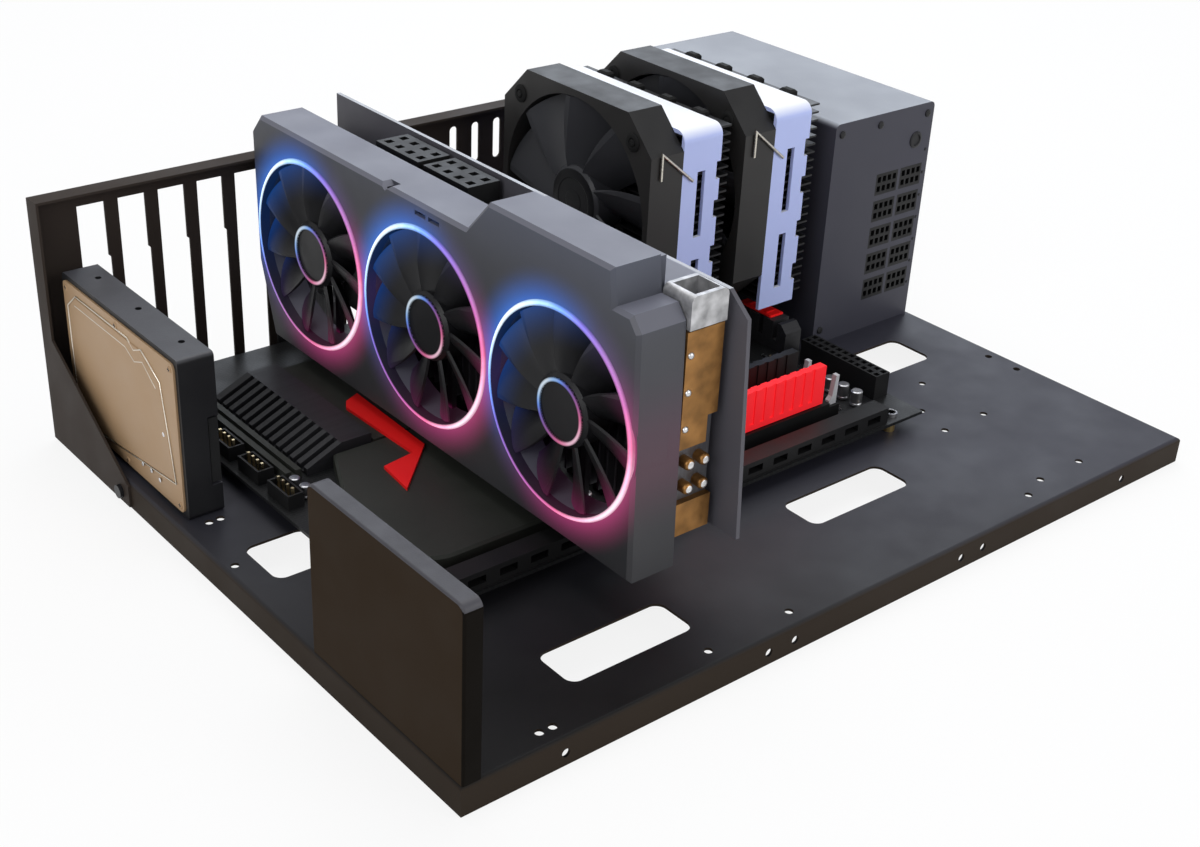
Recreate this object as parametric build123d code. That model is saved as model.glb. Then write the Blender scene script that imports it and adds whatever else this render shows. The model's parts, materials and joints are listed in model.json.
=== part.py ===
from build123d import *
import os

os.makedirs("parts", exist_ok=True)

# An open air test bench: a folded tray with a slotted rear panel, carrying a mainboard with
# its cooler and memory, a graphics card, a power supply and a drive.
# Lengths are in millimetres. X runs right along the rear panel, Y to the rear, Z up.
# Places are counted from the tray's front left bottom corner, and save() moves each piece
# so that the origin lies under the middle of the bench.

# Tray and rear panel
tray_d = 335.0
tray_h = 13.4
sheet_t = 1.2
bend_r = 2.0
panel_h = 124.7
lip_d = 10.5
lip_clear = 1.5
gusset_len = 80.0
gusset_rise = 57.0
gusset_tip = 12.0
gusset_foot = 1.0
hole_r = 1.9
cutout_r = 5.0
fan_hole_pitch = 105.0
fan_place_pitch = 120.0
flange_hole_z = 5.9
slot_count = 8
slot_pitch = 20.32
slot_first = 28.8
slot_w = 14.8
slot_web = 3.0
slot_low = 17.4
slot_margin = 9.2
slot_step_z = 87.0
slot_step = 1.2
vent_w = 5.0
vent_pitch = 14.3
vent_first = 233.0
vent_count = 9
vent_upper_h = 22.5
vent_lower_h = 15.0
vent_gap = 9.5
io_w = 158.75
io_h = 44.45
io_drop = 3.8
io_overlap = 2.0

# Side panel at the front left
side_len = 100.0
side_top = 90.0
side_depth = 8.0
side_inset = 0.6

# Screws
screw_r = 3.2
screw_head = 1.8
shank_r = 1.6

# Mainboard
board_w = 305.0
board_d = 244.0
board_t = 1.6
board_left = 36.0
board_rear_gap = 6.0
standoff_h = 6.5
standoff_r = 3.0
mount_edge_x = 16.5
mount_middle_x = 147.8
mount_rear = 10.2
mount_middle_y = 165.1
mount_front = 6.5
board_hole_r = 1.9
socket_h = 4.0
socket_w = 44.0
cpu_w = 36.0
cpu_h = 3.5
cpu_from_right = 40.5
cpu_from_rear = 90.0

# Memory
dimm_slot_w = 6.5
dimm_slot_h = 9.0
dimm_pitch = 9.4
dimm_count = 4
dimm_from_front = 24.0
dimm_from_right = 46.0
dimm_card_gap = 2.0
module_end_gap = 4.5
module_h = 28.5
module_t = 1.3
module_lift = 2.0
spreader_t = 1.6
spreader_lift = 10.0
latch_reach = 3.8
fork_l = 7.0
latch_h = 18.0
latch_pin_r = 1.0
pin_gap = 0.05

# Cooler
tower_pitch = 61.0
tower_cover_w = 24.7
tower_fin_d = 32.0
tower_half = 57.0
cover_wall = 2.0
cover_slot_w = 5.0
cover_low = 45.0
cooler_h = 131.0
fin_low = 48.0
fin_t = 1.0
fin_pitch = 4.2
core_w = 9.0
base_h = 10.0
base_w = 38.0
pipe_r = 3.0
pipe_pitch = 9.0
pipe_count = 4
pipe_bend = 11.0
pipe_gap = 0.1
fan_t = 20.5
fan_rise = 8.5
fan_corner = 18.0
fan_wall = 3.5
fan_tip_gap = 1.0
fan_hub_r = 18.0
fan_pin_r = 2.0
strut_w = 3.5
strut_t = 2.5
hub_gap = 0.6
blade_t = 1.2
blade_camber = 1.6
blade_sweep = 0.14
clip_r = 0.8
clip_low = 21.0
clip_bend = 8.0
clip_hook = 25.0

# Graphics card
card_face_x = 107.5
card_from_rear = 155.0
card_low = 36.0
card_slot = 6
card_fan_pitch = 94.5
card_fan_z = 92.4
card_ring_r = 46.2
card_ring_w = 2.4
card_ring_proud = 1.0
card_tip_gap = 0.7
card_hub_r = 16.0
card_rotor_t = 12.5
hub_rim_r = 14.3
hub_rim_w = 1.8
hub_rim_proud = 0.8
shroud_d = 23.5
shroud_wall = 2.0
shroud_tail = 138.5
shroud_rear = 144.5
shroud_top_rear = 149.0
shroud_crest = 165.0
shroud_step = 150.0
shroud_post_r = 3.0
shroud_post_rise = 38.0
card_pcb_t = 1.6
card_pcb_top = 119.0
card_pcb_offset = 1.6
backplate_t = 2.0
backplate_gap = 1.1
backplate_low = 45.0
backplate_top = 150.0
backplate_tail = 153.0
sink_base_t = 4.0
chip_t = 1.8
sink_fin_t = 1.2
sink_fin_pitch = 5.4
sink_rear_gap = 62.0
bracket_t = 1.0
bracket_vents = 8
bracket_vent_w = 12.0
bracket_vent_h = 6.5
bracket_vent_pitch = 10.0
finger_drop = 11.0

# Power supply
psu_w = 76.0
psu_l = 155.0
psu_h = 124.6
psu_wall = 1.2
psu_right_gap = 3.0
psu_board_gap = 20.0
psu_fan_r = 49.0
psu_fan_t = 18.0
psu_hub_r = 16.0
rocker_w = 9.0
rocker_h = 16.0
rocker_tilt = 8.0
rocker_depth = 6.0

# Drive
drive_l = 112.0
drive_h = 77.6
drive_t = 20.0
drive_left = 5.0
drive_from_rear = 11.0
drive_cover_t = 1.5

# Worked out from the sizes above
overall_d = tray_d + sheet_t + screw_head
board_right = board_left + board_w
psu_left = board_right + psu_board_gap
psu_right = psu_left + psu_w
tray_w = psu_right + psu_right_gap
board_rear = tray_d - board_rear_gap
board_front = board_rear - board_d
board_low = tray_h + standoff_h
board_top = board_low + board_t
cpu_x = board_right - cpu_from_right
cpu_y = board_rear - cpu_from_rear
cpu_top = board_top + socket_h + cpu_h
cooler_top = board_top + cooler_h
fan_mouth_r = tower_half - fan_wall
panel_rear = tray_d + sheet_t
slot_high = panel_h - slot_margin
card_mid_y = tray_d - card_from_rear
card_pcb_x = slot_first + card_slot * slot_pitch + card_pcb_offset
backplate_x = card_pcb_x + card_pcb_t + backplate_gap
shroud_back = card_face_x + shroud_d
psu_front = tray_d - psu_l
psu_top = tray_h + psu_h

LOW = (Align.MIN, Align.MIN, Align.MIN)
STAND = (Align.CENTER, Align.CENTER, Align.MIN)


def block(x, y, z):
    """Box between a low and a high limit along each axis."""
    size = (x[1] - x[0], y[1] - y[0], z[1] - z[0])
    return Pos(x[0], y[0], z[0]) * Box(*size, align=LOW)


def rod_x(r, x, y, z):
    """Cylinder along X between two limits."""
    return Pos(x[0], y, z) * Rot(0, 90, 0) * Cylinder(r, x[1] - x[0], align=STAND)


def rod_y(r, x, y, z):
    """Cylinder along Y between two limits."""
    return Pos(x, y[0], z) * Rot(-90, 0, 0) * Cylinder(r, y[1] - y[0], align=STAND)


def rod_z(r, x, y, z):
    """Cylinder along Z between two limits."""
    return Pos(x, y, z[0]) * Cylinder(r, z[1] - z[0], align=STAND)


def slab_x(face, x):
    """Solid from a face drawn in Y and Z, between two limits along X."""
    return Pos(x[0], 0, 0) * extrude(Plane.YZ * face, x[1] - x[0])


def slab_y(face, y):
    """Solid from a face drawn in X and Z, between two limits along Y."""
    return Pos(0, y[1], 0) * extrude(Plane.XZ * face, y[1] - y[0])


def slab_z(face, z):
    """Solid from a face drawn in X and Y, between two limits along Z."""
    return Pos(0, 0, z[0]) * extrude(face, z[1] - z[0])


def outline(*points):
    """Face inside straight lines through the points."""
    return make_face(Polyline(*points, close=True))


def rounded(a, b, r):
    """Rounded rectangle between two limits in each direction of its plane."""
    middle = Pos((a[0] + a[1]) / 2, (b[0] + b[1]) / 2)
    return middle * RectangleRounded(a[1] - a[0], b[1] - b[0], r)


def span(middle, length):
    """Limits of a length about its middle."""
    return (middle - length / 2, middle + length / 2)


def group(shapes):
    """Separate solids kept together as one piece."""
    return Compound([solid for shape in shapes for solid in shape.solids()])


def save(name, shape):
    """Writes one piece, moved to the bench's own origin."""
    export_step(Pos(-tray_w / 2, -overall_d / 2, 0) * shape, f"parts/{name}.step")


# Bench

tray_cutouts = (
    ((68.5, 132.5), (23.3, 46.2)),
    ((229.0, 293.0), (49.0, 71.0)),
    ((tray_w - 95.0, tray_w - 35.0), (133.0, 160.0)),
    ((14.0, 44.0), (150.0, 179.5)),
)
drive_hole_x = (tray_w - 92.6, tray_w - 62.6)
drive_hole_y = (15.7, 74.4)
loose_holes = (
    (tray_w - 86.6, 94.9),
    (tray_w - 62.8, 115.1),
    (tray_w - 109.0, 9.9),
    (171.7, 8.9),
    (126.0, 8.5),
    (47.1, 8.0),
    (41.0, 8.2),
    (12.9, 206.5),
    (18.4, 206.6),
    (5.3, 170.1),
    (tray_w - 7.8, 115.7),
    (tray_w - 7.2, 97.1),
)


def base_tray():
    """Pan folded down on all four sides, with cable openings and screw holes."""
    shell = block((0, tray_w), (0, tray_d), (0, tray_h))
    shell = fillet(shell.faces().sort_by(Axis.Z)[-1].edges(), bend_r)
    hollow = block(
        (sheet_t, tray_w - sheet_t), (sheet_t, tray_d - sheet_t), (-sheet_t, tray_h - sheet_t)
    )
    hollow = fillet(hollow.faces().sort_by(Axis.Z)[-1].edges(), bend_r - sheet_t)
    through = (tray_h - 2 * sheet_t, tray_h + sheet_t)
    cuts = [slab_z(rounded(x, y, cutout_r), through) for x, y in tray_cutouts]
    drive_holes = [(x, y) for x in drive_hole_x for y in drive_hole_y]
    cuts += [rod_z(hole_r, x, y, through) for x, y in drive_holes + list(loose_holes)]
    for place in (-1, 0, 1):
        for side in (-1, 1):
            x = tray_w / 2 + place * fan_place_pitch + side * fan_hole_pitch / 2
            cuts.append(rod_y(hole_r, x, (-sheet_t, 2 * sheet_t), flange_hole_z))
    for x in mount_places_x:
        for y in mount_places_y:
            cuts.append(rod_z(shank_r + pin_gap, x, y, through))
    return shell - hollow - cuts


def slot_centres():
    """Middle of each expansion slot along X."""
    return [slot_first + index * slot_pitch for index in range(slot_count)]


def slot_opening(x):
    """Tall opening with one stepped edge, drawn in X and Z."""
    left = x - slot_w / 2
    right = x + slot_w / 2
    return outline(
        (left, slot_low),
        (right, slot_low),
        (right, slot_step_z),
        (right - slot_step, slot_step_z + slot_step),
        (right - slot_step, slot_high),
        (left, slot_high),
    )


def gusset(x):
    """End flange that widens to a triangle over the tray's side."""
    front = panel_rear - lip_d
    tip = panel_rear - gusset_len
    face = outline(
        (panel_rear, gusset_foot),
        (panel_rear, panel_h),
        (front, panel_h),
        (front, gusset_rise),
        (tip, gusset_tip),
        (tip, gusset_foot),
    )
    return slab_x(face, x) - rod_x(shank_r, (x[0] - 1, x[1] + 1), tip + 8, gusset_tip / 2)


def rear_panel():
    """Slotted panel behind the tray, with a folded lip and an end flange each side."""
    wide = (-sheet_t, tray_w + sheet_t)
    plate = block(wide, (tray_d, panel_rear), (gusset_foot, panel_h))
    lip_x = (-sheet_t, psu_left - lip_clear)
    lip = block(lip_x, (panel_rear - lip_d, panel_rear), (panel_h - sheet_t, panel_h))
    panel = plate + lip + gusset((-sheet_t, 0)) + gusset((tray_w, tray_w + sheet_t))
    through = (tray_d - 1, panel_rear + 1)
    cuts = [slab_y(slot_opening(x), through) for x in slot_centres()]
    io_right = board_right + io_overlap
    last_slot = slot_centres()[-1] + slot_w / 2
    io_x = (max(io_right - io_w, last_slot + slot_web), io_right)
    io_z = (board_top - io_drop, board_top - io_drop + io_h)
    cuts.append(block(io_x, through, io_z))
    upper = (slot_high - vent_upper_h, slot_high)
    lower = (upper[0] - vent_gap - vent_lower_h, upper[0] - vent_gap)
    for index in range(vent_count):
        x = span(vent_first + index * vent_pitch, vent_w)
        cuts += [slab_y(rounded(x, z, vent_w / 2 - 0.1), through) for z in (upper, lower)]
    window_x = (psu_left + 7, psu_right - 7)
    window_z = (tray_h + 7, slot_high)
    cuts.append(slab_y(rounded(window_x, window_z, cutout_r), through))
    panel = panel - cuts
    back = panel.faces().filter_by(Axis.Y).sort_by(Axis.Y)[-1]
    top = back.edges().filter_by(Axis.X).sort_by(Axis.Z)[-1]
    return fillet([top], sheet_t * 0.8)


def side_panel():
    """Shallow pan standing on the tray at the front left, open to the inside."""
    x = (side_inset, side_inset + side_depth)
    y = (0, side_len)
    z = (tray_h, side_top)
    shell = block(x, y, z)
    shell = fillet(shell.edges().filter_by(Axis.X).sort_by(Axis.Z)[-2:], 4.0)
    shell = fillet(shell.faces().sort_by(Axis.X)[0].edges().sort_by(Axis.Z)[1:], sheet_t)
    inside = block(
        (x[0] + sheet_t, x[1] + 1),
        (y[0] + sheet_t, y[1] - sheet_t),
        (z[0] + sheet_t, z[1] - sheet_t),
    )
    inside = fillet(inside.edges().filter_by(Axis.X).sort_by(Axis.Z)[-2:], 2.5)
    return shell - inside


def bench_screws():
    """Screws that hold the gussets, the side panel and the supply."""
    tip = panel_rear - gusset_len + 8
    z = gusset_tip / 2
    left = rod_x(screw_r, (-sheet_t - screw_head, -sheet_t), tip, z)
    left += rod_x(shank_r, (-sheet_t, 0), tip, z)
    right = rod_x(screw_r, (tray_w + sheet_t, tray_w + sheet_t + screw_head), tip, z)
    right += rod_x(shank_r, (tray_w, tray_w + sheet_t), tip, z)
    foot = tray_h + sheet_t
    x = side_inset + side_depth / 2 + sheet_t / 2
    feet = [rod_z(screw_r - 0.4, x, y, (foot, foot + screw_head)) for y in (20, side_len - 20)]
    behind = []
    for x in (psu_left + 4, psu_right - 4):
        for z in (tray_h + 14, slot_high - 10):
            behind.append(rod_y(screw_r - 0.4, x, (panel_rear, panel_rear + screw_head), z))
    return group([left, right] + feet + behind)


# Mainboard

mount_places_x = [board_right - mount_edge_x, board_right - mount_middle_x, board_left + mount_edge_x]
mount_places_y = [board_rear - mount_rear, board_rear - mount_middle_y, board_front + mount_front]
mount_places = [(x, y) for x in mount_places_x for y in mount_places_y]


def standoffs():
    """Posts between the tray and the mainboard."""
    posts = []
    for x, y in mount_places:
        post = rod_z(standoff_r, x, y, (tray_h, board_low))
        post += rod_z(shank_r, x, y, (tray_h - sheet_t, tray_h))
        posts.append(post - rod_z(shank_r, x, y, (board_low - 4, board_low)))
    return group(posts)


def board_screws():
    """Pan head screws through the mainboard into the standoffs."""
    screws = []
    for x, y in mount_places:
        head = rod_z(screw_r, x, y, (board_top, board_top + screw_head))
        screws.append(head + rod_z(shank_r, x, y, (board_low - 3.5, board_top)))
    return group(screws)


def mainboard():
    """Board with its screw holes."""
    plate = block((board_left, board_right), (board_front, board_rear), (board_low, board_top))
    through = (board_low - 1, board_top + 1)
    return plate - [rod_z(board_hole_r, x, y, through) for x, y in mount_places]


sink_x = (board_left + 25, board_left + 59)
sink_y = (board_front + 119, board_front + 204)
sink_skirt = 3.5
sink_run = 18.0
sink_h = 11.5
sink_rib_pitch = 6.2
sink_groove = 3.0
sink_groove_d = 2.6
strip_x = (board_left + 14, board_left + 22)
strip_h = 5.0
strip_groove = 2.2
cover_right = board_left + 96
cover_y = (board_front + 19, board_front + 118)
cover_h = 8.0
cover_corner = 16.0
trim_t = 1.5


def chipset_heatsink():
    """Block with a ribbed slope towards the board's left edge."""
    foot = (sink_x[0], board_top + sink_skirt)
    top = (sink_x[0] + sink_run, board_top + sink_h)
    profile = outline(
        (sink_x[0], board_top),
        foot,
        top,
        (sink_x[1], top[1]),
        (sink_x[1], board_top),
    )
    fall = (top[1] - foot[1]) / sink_run
    groove = outline(
        (foot[0] - 1, foot[1] - sink_groove_d - fall),
        (top[0], top[1] - sink_groove_d),
        (top[0], top[1] + 1),
        (foot[0] - 1, top[1] + 1),
    )
    grooves = []
    for index in range(int((sink_y[1] - sink_y[0]) / sink_rib_pitch)):
        y = span(sink_y[0] + (index + 0.75) * sink_rib_pitch, sink_groove)
        grooves.append(slab_y(groove, y))
    return slab_y(profile, sink_y) - grooves


def board_covers():
    """Flat cover with one large rounded corner, and the bars beside the ribbed block."""
    z = (board_top, board_top + cover_h)
    face = outline(
        (board_left + 38, cover_y[1]),
        (board_left + 23, cover_y[1] - 32),
        (board_left + 17.5, cover_y[0]),
        (cover_right, cover_y[0]),
        (cover_right, cover_y[1]),
    )
    plate = slab_z(face, z)
    corner = plate.edges().filter_by(Axis.Z).sort_by(lambda edge: edge.center().X + edge.center().Y)[0]
    plate = fillet(corner, cover_corner)
    plate = chamfer(plate.faces().sort_by(Axis.Z)[-1].edges(), 1.2)
    bar = block((sink_x[1] + 1, cover_right), (cover_y[1] + 0.6, sink_y[1]), z)
    strip_top = board_top + strip_h
    strip = block(strip_x, sink_y, (board_top, strip_top))
    middle = (strip_x[0] + strip_x[1]) / 2
    groove_y = (sink_y[0] - 1, sink_y[1] + 1)
    strip -= block(span(middle, strip_groove), groove_y, (strip_top - strip_groove, strip_top + 1))
    return group([plate, bar, strip])


def red_trim():
    """Stripe with an arrow-like front end, lying on the covers beside the graphics card."""
    places = (
        (68.0, 154.9),
        (76.6, 158.9),
        (74.9, 99.4),
        (46.7, 71.6),
        (49.0, 93.3),
        (66.5, 96.3),
        (64.8, 149.8),
    )
    stripe = outline(*[(board_left + x, board_front + y) for x, y in places])
    return slab_z(stripe, (board_top + cover_h, board_top + cover_h + trim_t))


def board_edge_bars():
    """Low sockets along the mainboard's front edge."""
    z = (board_top, board_top + 8.5)
    y = (board_front + 1.5, board_front + 11.5)
    row = mount_places_x
    lengths = ((row[2] + 8, row[1] - 8), (row[1] + 8, row[0] - 8))
    bars = []
    for x in lengths:
        bar = block(x, y, z)
        slots = [
            block((low, low + 9), (y[0] - 1, y[0] + 6), (z[0] + 2.5, z[0] + 6.0))
            for low in range(int(x[0]) + 5, int(x[1]) - 10, 16)
        ]
        bars.append(bar - slots)
    return group(bars)


def left_headers():
    """Pin headers along the mainboard's left edge, clear of the screws."""
    x = (board_left + 3, board_left + 11)
    length = 18.0
    pin_w = 1.2
    headers = []
    for index in range(7):
        y0 = board_front + 20 + index * 26
        if min(abs(y0 + length / 2 - y) for y in mount_places_y) < length / 2 + screw_r + 1:
            continue
        body = block(x, (y0, y0 + length), (board_top, board_top + 7))
        body -= block((x[0] + 1, x[1] - 1), (y0 + 1, y0 + length - 1), (board_top + 2, board_top + 8))
        pin_z = (board_top + 2, board_top + 9)
        pin_x = span(x[0] + 4, pin_w)
        pins = [block(pin_x, span(y0 + 3 + 4 * step, pin_w), pin_z) for step in range(4)]
        headers.append(body + pins)
    return group(headers)


vrm_front = cpu_y - 70


def power_socket(x, y, height, columns, rows):
    """Socket with rows of square wells, open at the top."""
    top = board_top + height
    step_x = (x[1] - x[0]) / columns
    step_y = (y[1] - y[0]) / rows
    wells = []
    for column in range(columns):
        for row in range(rows):
            well_x = span(x[0] + (column + 0.5) * step_x, 2.8)
            well_y = span(y[0] + (row + 0.5) * step_y, 2.8)
            wells.append(block(well_x, well_y, (top - 8, top + 1)))
    return block(x, y, (board_top, top)) - wells


def board_power_sockets():
    """Main socket at the right edge and the processor's socket behind it."""
    right = board_right - 2
    main = power_socket((right - 10, right), (vrm_front - 62, vrm_front - 10), 13, 2, 12)
    second = power_socket((right - 22, right - 2), (board_rear - 44, board_rear - 34), 13, 4, 2)
    return group([main, second])


def vrm_heatsinks():
    """Grooved blocks behind and to the right of the processor."""
    high = board_top + 16
    low = board_top + 8
    rear = block((cpu_x - 60, cpu_x + 14), (cpu_y + 42, cpu_y + 58), (board_top, high))
    fins = []
    for index in range(8):
        x = span(cpu_x - 54 + index * 9, 3)
        fins.append(block(x, (cpu_y + 41, cpu_y + 59), (board_top + 6, high + 1)))
    profile = outline(
        (vrm_front, board_top),
        (cpu_y + 30, board_top),
        (cpu_y + 30, low),
        (cpu_y - 28, low),
        (cpu_y - 32, high),
        (vrm_front + 4, high),
        (vrm_front, high - 4),
    )
    right = slab_x(profile, (cpu_x + 27, board_right - 2))
    grooves = []
    for index in range(9):
        y = span(cpu_y - 62 + index * 10.5, 3)
        grooves.append(block((cpu_x + 26, board_right), y, (low - 2, high + 1)))
    return group([rear - fins, right - grooves])


port_left = board_right - 138.75
port_gap = 5.0
port_depth = 26.0
port_kinds = ((15, 30, 4), (16, 30, 4), (17, 27, 2), (38, 14, 1), (12, 16, 2))
port_wall = 1.4
tongue_t = 2.0
tongue_rows = (1, 4)
tongue_margin = 2.0
jack_r = 1.8


def io_ports():
    """Sockets that show at the rear panel, and a block of round jacks at their end."""
    y = (panel_rear - port_depth, panel_rear)
    mouth_y = (panel_rear - 12, panel_rear + 1)
    left = port_left
    ports = []
    for width, height, rows in port_kinds:
        body = block((left, left + width), y, (board_top, board_top + height))
        step = height / rows
        for row in range(rows):
            z = (board_top + row * step + port_wall, board_top + (row + 1) * step - port_wall)
            x = (left + port_wall, left + width - port_wall)
            body -= block(x, mouth_y, z)
            if rows in tongue_rows:
                fill = max(tongue_t, z[1] - z[0] - 2 * 3.6)
                tongue_x = (x[0] + tongue_margin, x[1] - tongue_margin)
                body += block(tongue_x, (mouth_y[0], panel_rear - 2), span((z[0] + z[1]) / 2, fill))
        ports.append(body)
        left += width + port_gap
    jack_x = (board_right - 12, board_right + 1)
    jacks = block(jack_x, y, (board_top, board_top + 33))
    middle = (jack_x[0] + jack_x[1]) / 2
    hole_y = (panel_rear - 14, panel_rear + 1)
    holes = [rod_y(jack_r, middle, hole_y, board_top + 6 + 10.5 * row) for row in range(3)]
    return group(ports + [jacks - holes])


def cpu_socket():
    """Frame around the processor."""
    z = (board_top, board_top + socket_h)
    frame = block(span(cpu_x, socket_w), span(cpu_y, socket_w), z)
    frame -= block(span(cpu_x, cpu_w), span(cpu_y, cpu_w), (board_top + 1.5, z[1] + 1))
    return frame


def processor():
    """Carrier and metal lid."""
    wide = cpu_w - 0.4
    carrier_z = (board_top + 1.5, board_top + socket_h)
    carrier = block(span(cpu_x, wide), span(cpu_y, wide), carrier_z)
    lid = block(span(cpu_x, cpu_w - 6), span(cpu_y, cpu_w - 6), (board_top + socket_h, cpu_top))
    return carrier + chamfer(lid.faces().sort_by(Axis.Z)[-1].edges(), 0.8)


# Memory

dimm_right = board_right - dimm_from_right
dimm_left = backplate_x + backplate_t + dimm_card_gap
dimm_y = [board_front + dimm_from_front + index * dimm_pitch for index in range(dimm_count)]
module_x = (dimm_left + module_end_gap, dimm_right - module_end_gap)
module_z = (board_top + module_lift, board_top + module_lift + module_h)
filled = (0, 2)
latch_z = board_top + 4.0


def dimm_slots():
    """Long sockets for the memory modules, with a forked end that carries each latch."""
    slots = []
    for y in dimm_y:
        top = board_top + dimm_slot_h
        body = block((dimm_left, dimm_right), span(y, dimm_slot_w), (board_top, top))
        body -= block(module_x, span(y, module_t), (board_top + module_lift, top + 1))
        fork = (dimm_right, dimm_right + fork_l)
        for side in (-1, 1):
            cheek = span(y + side * (dimm_slot_w / 2 - 0.75), 1.5)
            body += block(fork, cheek, (board_top, board_top + 7))
        body += rod_y(latch_pin_r, dimm_right + latch_reach, span(y, dimm_slot_w - 1), latch_z)
        slots.append(body)
    return group(slots)


def dimm_latch(y):
    """Lever that holds one end of a module; it turns on a pin in the slot's fork."""
    wide = span(y, dimm_slot_w - 3.0 - 0.8)
    pivot = dimm_right + latch_reach
    face = outline(
        (pivot - 2.4, latch_z - 2.4),
        (pivot + 2.2, latch_z - 2.4),
        (pivot + 3.0, latch_z + latch_h),
        (pivot + 0.8, latch_z + latch_h),
        (pivot - 0.6, latch_z + 7),
        (pivot - 2.4, latch_z + 5),
    )
    body = slab_y(face, wide)
    return body - rod_y(latch_pin_r + pin_gap, pivot, (wide[0] - 1, wide[1] + 1), latch_z)


def memory_module(y):
    """Small board with a ribbed heat spreader on each side."""
    body = block(module_x, span(y, module_t), module_z)
    low = board_top + spreader_lift
    ribs = []
    for side in (-1, 1):
        middle = y + side * (module_t + spreader_t) / 2
        notch = 14.0
        face = outline(
            (module_x[0], low),
            (module_x[1], low),
            (module_x[1], module_z[1]),
            (module_x[0] + notch, module_z[1]),
            (module_x[0], module_z[1] - 4),
        )
        body += slab_y(face, span(middle, spreader_t))
        outer = y + side * (module_t / 2 + spreader_t)
        for index in range(10):
            x = span(module_x[1] - 9 - index * 6.5, 2.6)
            ribs.append(block(x, span(outer, 1.2), (low + 3, module_z[1] + 1)))
    return body - ribs


# Cooler

cover_x1 = cpu_x - tower_pitch / 2 - tower_cover_w / 2
tower_x = [cover_x1, cover_x1 + tower_pitch]
fin_top = cooler_top - cover_wall
fan_y = cpu_y
fan_z = cooler_top + fan_rise - tower_half
pipe_x = [x + tower_cover_w / 2 for x in tower_x]
pipe_y = [cpu_y + (index - (pipe_count - 1) / 2) * pipe_pitch for index in range(pipe_count)]
pipe_z = cpu_top + base_h / 2


def cooler_base():
    """Block on the processor, bored for the heat pipes."""
    body = block(span(cpu_x, base_w), span(cpu_y, base_w), (cpu_top, cpu_top + base_h))
    body = chamfer(body.faces().sort_by(Axis.Z)[-1].edges(), 1.5)
    ends = (cpu_x - base_w, cpu_x + base_w)
    return body - [rod_x(pipe_r + pipe_gap, ends, y, pipe_z) for y in pipe_y]


def heat_pipes():
    """Pipes bent up from the base into both fin stacks."""
    pipes = []
    for y in pipe_y:
        path = FilletPolyline(
            (pipe_x[0], y, fin_top - 4),
            (pipe_x[0], y, pipe_z),
            (pipe_x[1], y, pipe_z),
            (pipe_x[1], y, fin_top - 4),
            radius=pipe_bend,
        )
        start = Plane((pipe_x[0], y, fin_top - 4), z_dir=(0, 0, -1))
        pipes.append(sweep(start * Circle(pipe_r), path=path))
    return group(pipes)


def fin_stack(x0):
    """Plates on a bored core, one stack of the cooler."""
    y = span(cpu_y, 2 * (tower_half - cover_wall))
    core_x = span(x0 + tower_cover_w / 2, core_w)
    body = block(core_x, span(cpu_y, pipe_count * pipe_pitch + 6), (fin_low, fin_top))
    count = int((fin_top - fin_low) / fin_pitch)
    plates = []
    for index in range(count + 1):
        z = fin_top - index * fin_pitch
        plates.append(block((x0, x0 + tower_fin_d), y, (z - fin_t, z)))
    bores = [
        rod_z(pipe_r + pipe_gap, x0 + tower_cover_w / 2, middle, (fin_low - 20, fin_top - 3.5))
        for middle in pipe_y
    ]
    return body + plates - bores


def tower_cover(x0):
    """Moulded hood over a fin stack: a top and two slotted sides."""
    x = (x0, x0 + tower_cover_w)
    y = span(cpu_y, 2 * tower_half)
    hood = block(x, y, (cover_low, cooler_top))
    hood = fillet(hood.edges().filter_by(Axis.X).sort_by(Axis.Z)[-2:], 6.0)
    inner = (y[0] + cover_wall, y[1] - cover_wall)
    hood -= block((x[0] - 1, x[1] + 1), inner, (cover_low - 1, fin_top))
    cuts = []
    middle = x0 + tower_cover_w / 2
    for z in ((cover_low + 10, cover_low + 40), (cover_low + 52, cover_low + 86)):
        cuts.append(block(span(middle, cover_slot_w), (y[0] - 1, y[1] + 1), z))
    for z in (cover_low + 12, cover_low + 36, cover_low + 60, cover_low + 80):
        cuts.append(block((x[1] - 2.5, x[1] + 1), (y[0] - 1, y[1] + 1), (z, z + 9)))
    for step in (-34, -17, 0, 17, 34):
        notch_x = (x[0] - 1, x[0] + 2.5)
        cuts.append(block(notch_x, span(cpu_y + step, 7), (fin_top - 1, cooler_top + 1)))
    return hood - cuts


def tower_pads():
    """Soft pads on the plates' free edges."""
    pads = []
    for x0 in tower_x:
        for step in (-36, -12, 12, 36):
            x = (x0 + tower_cover_w + 1.2, x0 + tower_fin_d - 1)
            pads.append(block(x, span(cpu_y + step, 8), (fin_top, fin_top + 3)))
    return group([chamfer(pad.faces().sort_by(Axis.Z)[-1].edges(), 1.0) for pad in pads])


def blade_section(size, reach, skew):
    """Cambered section of a blade at one radius, from its chord and pitch."""
    chord, pitch = size
    half = chord / 2
    face = make_face(
        [
            ThreePointArc((-half, 0), (0, blade_camber), (half, 0)),
            Line((half, 0), (half, blade_t)),
            ThreePointArc((half, blade_t), (0, blade_camber + blade_t), (-half, blade_t)),
            Line((-half, blade_t), (-half, 0)),
        ]
    )
    return Pos(0, skew, reach) * Rot(0, 0, 90 - pitch) * face


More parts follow.
